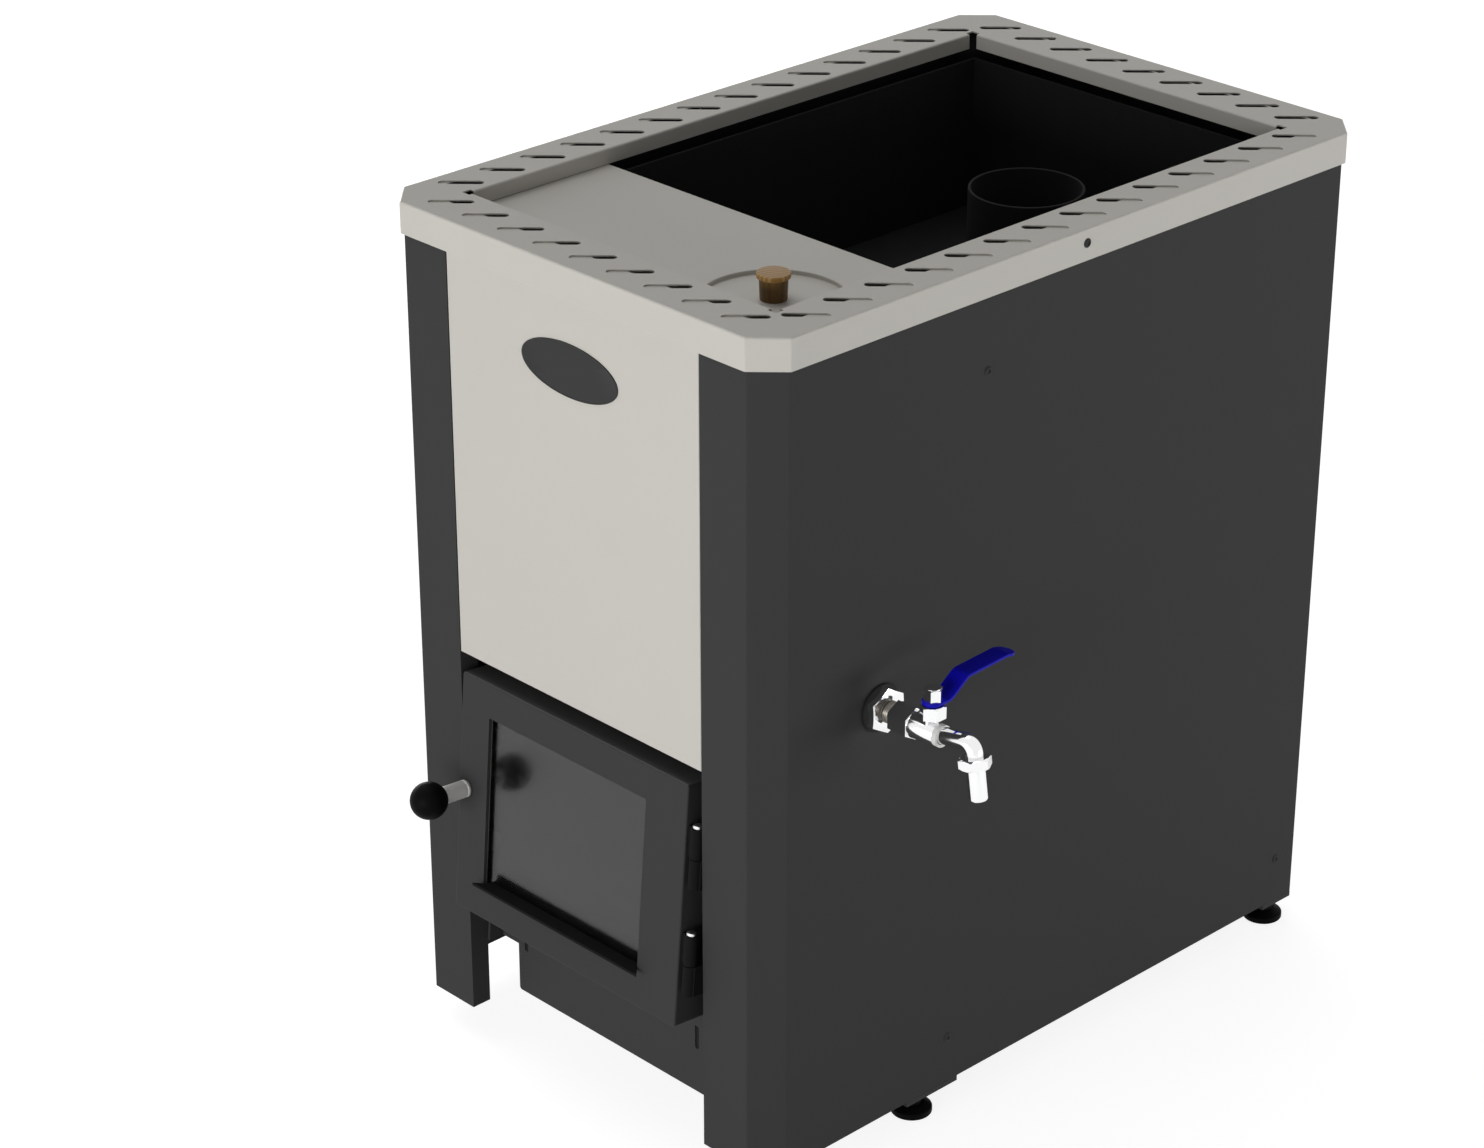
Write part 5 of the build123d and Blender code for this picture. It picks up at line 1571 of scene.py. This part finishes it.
@dataclass
class Tap(Assembly):
    """Ball tap with its gasket, nuts, threads, lever and bent spout."""

    thread_pitch: float = 1.8 * MM
    thread_depth: float = 0.9 * MM
    axis_reach: float = 63.8 * MM
    barrel: float = 13.0 * MM
    bonnet_flats: float = 21.0 * MM
    bonnet_start: float = 14.6 * MM
    bonnet_top: float = 27.0 * MM
    bonnet_bore: float = 4.1 * MM
    gasket_bore: float = 10.6 * MM
    lever_raise: float = 5.0 * MM
    lever_base: float = 28.5 * MM
    lever_width: float = 19.5 * MM
    lever_sheet: float = 3.0 * MM
    lever_end_round: float = 9.0 * MM
    lever_edge: float = 1.0 * MM
    lever_bend: float = 12.0 * MM
    lever_path: tuple = ((-10.0, 0.0), (13.1, 0.0), (35.1, 15.6), (85.5, 17.8), (98.5, 14.5))
    lever_end_steps: tuple = (0.0, 0.02, 0.07, 0.15, 0.27, 0.43, 0.62, 0.8, 1.0)
    spout_radius: float = 8.0 * MM
    spout_bore: float = 6.0 * MM
    outlet_end: float = 9.0 * MM
    outlet_taper: float = 0.25
    spout_start: float = 66.0 * MM
    spout_foot: float = 70.0 * MM
    spout_peak: float = 112.2 * MM
    spout_rise: float = 8.0 * MM
    spout_lean: float = radians(8.7)
    spout_tail: float = 16.1 * MM
    foot_bend: float = 14.0 * MM
    peak_bend: float = 10.5 * MM
    collar_flats: float = 26.5 * MM
    collar_start: float = 13.1 * MM
    collar_height: float = 10.5 * MM
    nozzle_radius: float = 8.6 * MM
    nozzle_neck: float = 7.6 * MM
    nozzle_end: float = 53.6 * MM

    def build(self) -> None:
        """Make and dress the tap."""
        low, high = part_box("tap_nipple")
        _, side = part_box("casing_right")
        self.seat = Vector((side.x, (low.y + high.y) / 2, (low.z + high.z) / 2))
        self.pivot = self.seat + Vector((self.axis_reach, 0, 0))
        self.soften("outlet_locknut", Slot.CHROME, 0.4 * MM, 3)
        self.barrel_body()
        self.coat(Slot.CHROME, "tap_ball")
        self.coat(Slot.SEAT, "ball_seats")
        self.gasket()
        self.nipple()
        self.bonnet()
        self.raised("lever_nut", 0.5 * MM, self.lever_base - 4 * MM)
        self.raised("tap_stem", 0.4 * MM, self.barrel)
        self.lever()
        self.spout()
        self.nozzle()

    def barrel_body(self) -> None:
        """Tap body with a short outlet end that tapers towards the spout."""
        piece = softened("tap_body_formed", "tap_body", 0.4 * MM, 3)
        low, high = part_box("tap_body")
        for corner in piece.data.vertices:
            past = (corner.co.x - self.pivot.x) / (high.x - self.pivot.x)
            if past > 0:
                corner.co.x = self.pivot.x + past * self.outlet_end
                if corner.co.z < self.seat.z + self.barrel:
                    narrow = 1 - self.outlet_taper * past
                    corner.co.y = self.seat.y + (corner.co.y - self.seat.y) * narrow
                    corner.co.z = self.seat.z + (corner.co.z - self.seat.z) * narrow
        self.place(piece, Slot.CHROME, "tap_body")

    def raised(self, node: str, width: float, above: float) -> None:
        """Softened copy of a node of the lever, with what lies above a height set higher.

        Args:
            node: Name of the CAD node.
            width: Width of its broken edges.
            above: Height over the tap's axis.
        """
        piece = softened(node + "_formed", node, width, 3)
        for corner in piece.data.vertices:
            if corner.co.z > self.seat.z + above:
                corner.co.z += self.lever_raise
        self.place(piece, Slot.CHROME, node, body="tap_handle")

    def bonnet(self) -> None:
        """Packing nut on the tap's neck."""
        where = frame_at(self.pivot + UP * self.bonnet_start, UP)
        piece = hexagon_nut("tap_bonnet_turned", where, self.bonnet_flats,
                            self.bonnet_top - self.bonnet_start, self.bonnet_bore)
        self.place(piece, Slot.CHROME, "tap_bonnet")

    def lever(self) -> None:
        """Dipped flat lever: smooth bends, a drooping tip, rounded ends and soft edges."""
        mid, edge = self.lever_sheet / 2, self.lever_edge
        line = bent_line([(x * MM, mid + z * MM, self.lever_bend) for x, z in self.lever_path])
        low, high = line[0][0], line[-1][0]
        ends = [self.lever_end_round * share for share in self.lever_end_steps]
        stops = sorted({*(low + e for e in ends), *(high - e for e in ends),
                        *(x for x, _ in line[1:-1])})
        rows = []
        for reach in stops:
            k = next(i for i, (x, _) in enumerate(line[1:]) if reach <= x + 1e-9)
            (x0, y0), (x1, y1) = line[k], line[k + 1]
            rise = y0 + (y1 - y0) * (reach - x0) / (x1 - x0)
            normal = Vector((0, y0 - y1, x1 - x0)).normalized()
            inset = max(self.lever_end_round - min(reach - low, high - reach), 0.0)
            half = self.lever_width / 2 - self.lever_end_round
            half += sqrt(max(self.lever_end_round ** 2 - inset ** 2, 1e-8))
            middle = self.pivot + Vector((0, reach, self.lever_base + rise))
            soft = min(edge, 0.4 * half)
            section = []
            for sx, sz, first in ((1, 1, 0), (-1, 1, 1), (-1, -1, 2), (1, -1, 3)):
                for w in ((first + step / 3) * pi / 2 for step in range(4)):
                    section.append(middle + Vector((sx * (half - soft) + soft * cos(w), 0, 0))
                                   + normal * (sz * (mid - edge) + edge * sin(w)))
            rows.append(section)
        self.place(skin("tap_lever_dipped", rows), Slot.LEVER, "tap_lever", body="tap_handle")

    def outlet(self, along: float) -> Vector:
        """Point on the leaning axis of the outlet, measured from the peak of the spout."""
        peak = self.seat + Vector((self.spout_peak, 0, self.spout_rise))
        return peak + self.down() * along

    def down(self) -> Vector:
        """Direction of the outlet."""
        return Vector((sin(self.spout_lean), 0, -cos(self.spout_lean)))

    def spout(self) -> None:
        """Chromed pipe that climbs a little, bends over and leans outwards, with its union nut."""
        end = self.outlet(self.spout_tail) - self.seat
        line = bent_line([
            (self.spout_start, 0, 0), (self.spout_foot, 0, self.foot_bend),
            (self.spout_peak, self.spout_rise, self.peak_bend), (end.x, end.z, 0),
        ])
        rows = []
        for radius, order in ((self.spout_radius, 1), (self.spout_bore, -1)):
            part = []
            for k, (x, z) in enumerate(line):
                before, after = line[max(k - 1, 0)], line[min(k + 1, len(line) - 1)]
                ahead = Vector((after[0] - before[0], 0, after[1] - before[1])).normalized()
                across = Vector((-ahead.z, 0, ahead.x))
                part.append([
                    self.seat + Vector((x, 0, z)) + radius * (cos(w) * across + sin(w) * REARWARDS)
                    for w in around(40)
                ])
            rows += part[::order]
        self.place(skin("tap_spout_bent", rows, ring=True), Slot.CHROME, "tap_spout")
        where = frame_at(self.outlet(self.collar_start + self.collar_height), -self.down())
        where = where @ Matrix.Rotation(pi / 6, 4, "Z")
        nut = hexagon_nut("spout_collar_turned", where, self.collar_flats, self.collar_height,
                          self.spout_radius + 0.1 * MM, both_ends=True)
        self.place(nut, Slot.CHROME, "spout_collar")

    def gasket(self) -> None:
        """Thick rubber ring with rounded edges."""
        where, r, t = lying("outlet_gasket")
        bore = self.gasket_bore
        outline = rounded_outline([
            (bore, 0, 0), (r, 0, 1.0 * MM), (r, t, 1.4 * MM), (bore, t, 0),
        ])
        self.place(lathe("outlet_gasket_moulded", outline, where, 72, ring=True), Slot.SEAL,
                   "outlet_gasket")

    def nipple(self) -> None:
        """Threaded pipe between the lock nut and the tap."""
        self.threaded("tap_nipple_threaded", *lying("tap_nipple"), self.thread_pitch,
                      self.thread_depth, Slot.BRASS, "tap_nipple")

    def nozzle(self) -> None:
        """Turned nozzle with a lip and an open bore, along the leaning outlet of the spout."""
        r, bore, neck = self.nozzle_radius, self.spout_bore, self.nozzle_neck
        shoulder = self.nozzle_end - self.collar_start - self.collar_height - 0.2 * MM
        tall = shoulder + 2.7 * MM
        outline = rounded_outline([
            (bore, 0, 0.5 * MM), (r - 0.6 * MM, 0, 0.4 * MM), (r, 1.2 * MM, 0.4 * MM),
            (r, shoulder, 0.3 * MM), (neck, shoulder, 0), (neck, tall, 0.3 * MM),
            (bore, tall, 0),
        ])
        where = frame_at(self.outlet(self.nozzle_end), -self.down())
        self.place(lathe("hose_nozzle_turned", outline, where, 64, ring=True), Slot.CHROME,
                   "hose_nozzle")


@dataclass
class Base(Assembly):
    """Cross bars, lock nuts and the four levelling feet."""

    pad_edge: float = 6.0 * MM
    pad_cone: float = 10.0 * MM
    pad_top: float = 14.0 * MM
    neck_radius: float = 9.0 * MM
    hollow: float = 0.6 * MM
    hollow_rim: float = 3.0 * MM
    cone_run: float = 8.0 * MM
    stem_radius: float = 6.0 * MM
    stem_sunk: float = 1.0 * MM
    stem_pitch: float = 1.75 * MM
    stem_depth: float = 0.8 * MM

    def build(self) -> None:
        """Make and dress the base."""
        self.soften("base_bars", Slot.BLACK, 0.5 * MM)
        self.soften("foot_nuts", Slot.ZINC, 0.4 * MM)
        for place in ("front_left", "front_right", "rear_left", "rear_right"):
            self.foot("foot_" + place)

    def foot(self, node: str) -> None:
        """Moulded pad with a conical top and a collar, and its threaded stem."""
        foot, r, tall = upright(node)
        rise, inner, top = self.hollow, r - self.hollow_rim, self.pad_top
        outline = rounded_outline([
            (0, rise, 0), (inner, rise, 0), (inner, 0, 0), (r - 0.6 * MM, 0, 0),
            (r, 0.8 * MM, 0.4 * MM), (r, self.pad_edge, 1.2 * MM),
            (r - self.cone_run, self.pad_cone, 0.8 * MM),
            (self.neck_radius, self.pad_cone, 0.5 * MM), (self.neck_radius, top, 0.8 * MM),
            (0, top, 0),
        ])
        pad = lathe(node + "_pad", outline, Matrix.Translation(foot), 64)
        self.place(pad, Slot.BALL, node, body=node)
        start = top - self.stem_sunk
        self.threaded(node + "_stem", Matrix.Translation(foot + UP * start), self.stem_radius,
                      tall - start, self.stem_pitch, self.stem_depth, Slot.ZINC, node, body=node)


# Studio

@dataclass
class Studio:
    """Pale floor, white surroundings, soft lamps and the camera.

    The camera's eye is held by its distance from the middle of the rim's front top edge.
    """

    lens: float = 94.74
    sensor: float = 36.0
    shift: float = 0.0454
    azimuth: float = 46.22
    elevation: float = 26.735
    roll: float = -0.075
    eye_from_rim: tuple[float, float, float] = (2.3659, -2.0571, 1.2178)
    ambient: float = 0.13
    floor_reach: float = 14.0
    floor_catch: float = 0.42
    floor_glow: float = 0.86

    def build(self) -> None:
        """Set up everything round the stove."""
        self.floor()
        self.world()
        self.lamps()
        self.camera()
        bpy.context.scene.view_settings.view_transform = "Standard"

    def floor(self) -> None:
        """Pale floor that is white to the camera outside the stove's soft shadow."""
        reach = self.floor_reach
        mesh = bpy.data.meshes.new("floor")
        mesh.from_pydata([(-reach, -reach, 0), (reach, -reach, 0), (reach, reach, 0),
                          (-reach, reach, 0)], [], [(0, 1, 2, 3)])
        plane = linked("floor", mesh)
        t = ShaderTree("studio_floor")
        seen = t.looked_at()
        pale = t.tinted((0.78, 0.78, 0.775), 0.01, t.noise(3.0))
        plain = t.node("ShaderNodeBsdfDiffuse", None, {"Color": pale})
        catcher = t.node("ShaderNodeBsdfDiffuse", None, {"Color": (self.floor_catch,) * 3})
        glow = t.node("ShaderNodeEmission", None,
                      {"Color": (1, 1, 1), "Strength": self.floor_glow})
        shown = t.node("ShaderNodeAddShader", None, {0: catcher, 1: glow})
        t.end("ShaderNodeOutputMaterial",
              t.node("ShaderNodeMixShader", None, {0: seen, 1: plain, 2: shown}))
        mesh.materials.append(t.material)

    def world(self) -> None:
        """Even ambient light, and white where the camera or a reflection looks."""
        world = bpy.data.worlds.new("surroundings")
        bpy.context.scene.world = world
        world.use_nodes = True
        t = NodeSheet(world.node_tree)
        dim, white = (t.node("ShaderNodeBackground", None, {"Color": (1, 1, 1), "Strength": s})
                      for s in (self.ambient, 1.0))
        t.end("ShaderNodeOutputWorld",
              t.node("ShaderNodeMixShader", None, {0: t.looked_at(), 1: dim, 2: white}))

    def lamp(self, name: str, kind: str, azimuth: float, elevation: float, distance: float,
             **settings: object) -> bpy.types.Object:
        """Add a lamp that shines towards the stove's middle.

        Args:
            name: Name of the lamp.
            kind: Type of lamp.
            azimuth: Where it stands, in degrees from the front towards the right.
            elevation: Its height in degrees.
            distance: How far it stands from the middle.
            settings: Its properties.

        Returns:
            The lamp.
        """
        data = bpy.data.lights.new(name, kind)
        for key, value in settings.items():
            setattr(data, key, value)
        lamp = linked(name, data)
        a, e = radians(azimuth), radians(elevation)
        source = Vector((sin(a) * cos(e), -cos(a) * cos(e), sin(e)))
        lamp.rotation_euler = source.to_track_quat("Z", "Y").to_euler()
        lamp.location = source * distance
        return lamp

    def softbox(self, name: str, azimuth: float, distance: float, width: float, top: float,
                power: float) -> None:
        """Add a broad upright lamp that stands on the floor and faces the stove.

        Args:
            name: Name of the lamp.
            azimuth: Where it stands, in degrees from the front towards the right.
            distance: How far it stands from the stove's middle.
            width: Its width.
            top: Height of its upper edge.
            power: Its power in watts.
        """
        lamp = self.lamp(name, "AREA", azimuth, 0.0, distance, shape="RECTANGLE", size=width,
                         size_y=top, energy=power)
        lamp.location.z = top / 2

    def lamps(self) -> None:
        """Upright lamps round the stove, the brightest in front, and a soft one overhead."""
        _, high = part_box("top_rim")
        self.softbox("front_lamp", 7, 4.0, 3.0, high.z + 0.6, 92)
        self.softbox("right_lamp", 119, 4.0, 2.6, high.z, 57)
        self.softbox("left_lamp", 250, 4.0, 3.0, high.z, 60)
        self.lamp("sky_lamp", "SUN", 265, 66, 3, energy=0.9, angle=radians(50))

    def camera(self) -> None:
        """Camera at the photograph's place."""
        data = bpy.data.cameras.new("camera")
        data.lens = self.lens
        data.sensor_width = self.sensor
        data.shift_y = self.shift
        data.clip_end = 100.0
        camera = linked("camera", data)
        turn = Euler((radians(90 - self.elevation), 0, radians(self.azimuth))).to_matrix()
        turn = turn @ Matrix.Rotation(radians(self.roll), 3, "Z")
        low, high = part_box("top_rim")
        rim_front = Vector(((low.x + high.x) / 2, low.y, high.z))
        eye = rim_front + Vector(self.eye_from_rim)
        camera.matrix_world = Matrix.Translation(eye) @ turn.to_4x4()
        bpy.context.scene.camera = camera


def main() -> None:
    """Build the stove's looks round the frame."""
    logging.basicConfig(level=logging.INFO, format="%(message)s")
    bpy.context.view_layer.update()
    palette = Palette()
    trees = {"thread": thread_tree(), "planted": planted_tree(), "bead": bead_tree()}
    for kind in (Casing, TopRim, TankTop, StoveBody, Door, Handle, AshDrawer, Tap, Base):
        assembly = kind(palette, trees)
        assembly.build()
        assembly.report()
    Studio().build()


if __name__ == "__main__":
    main()
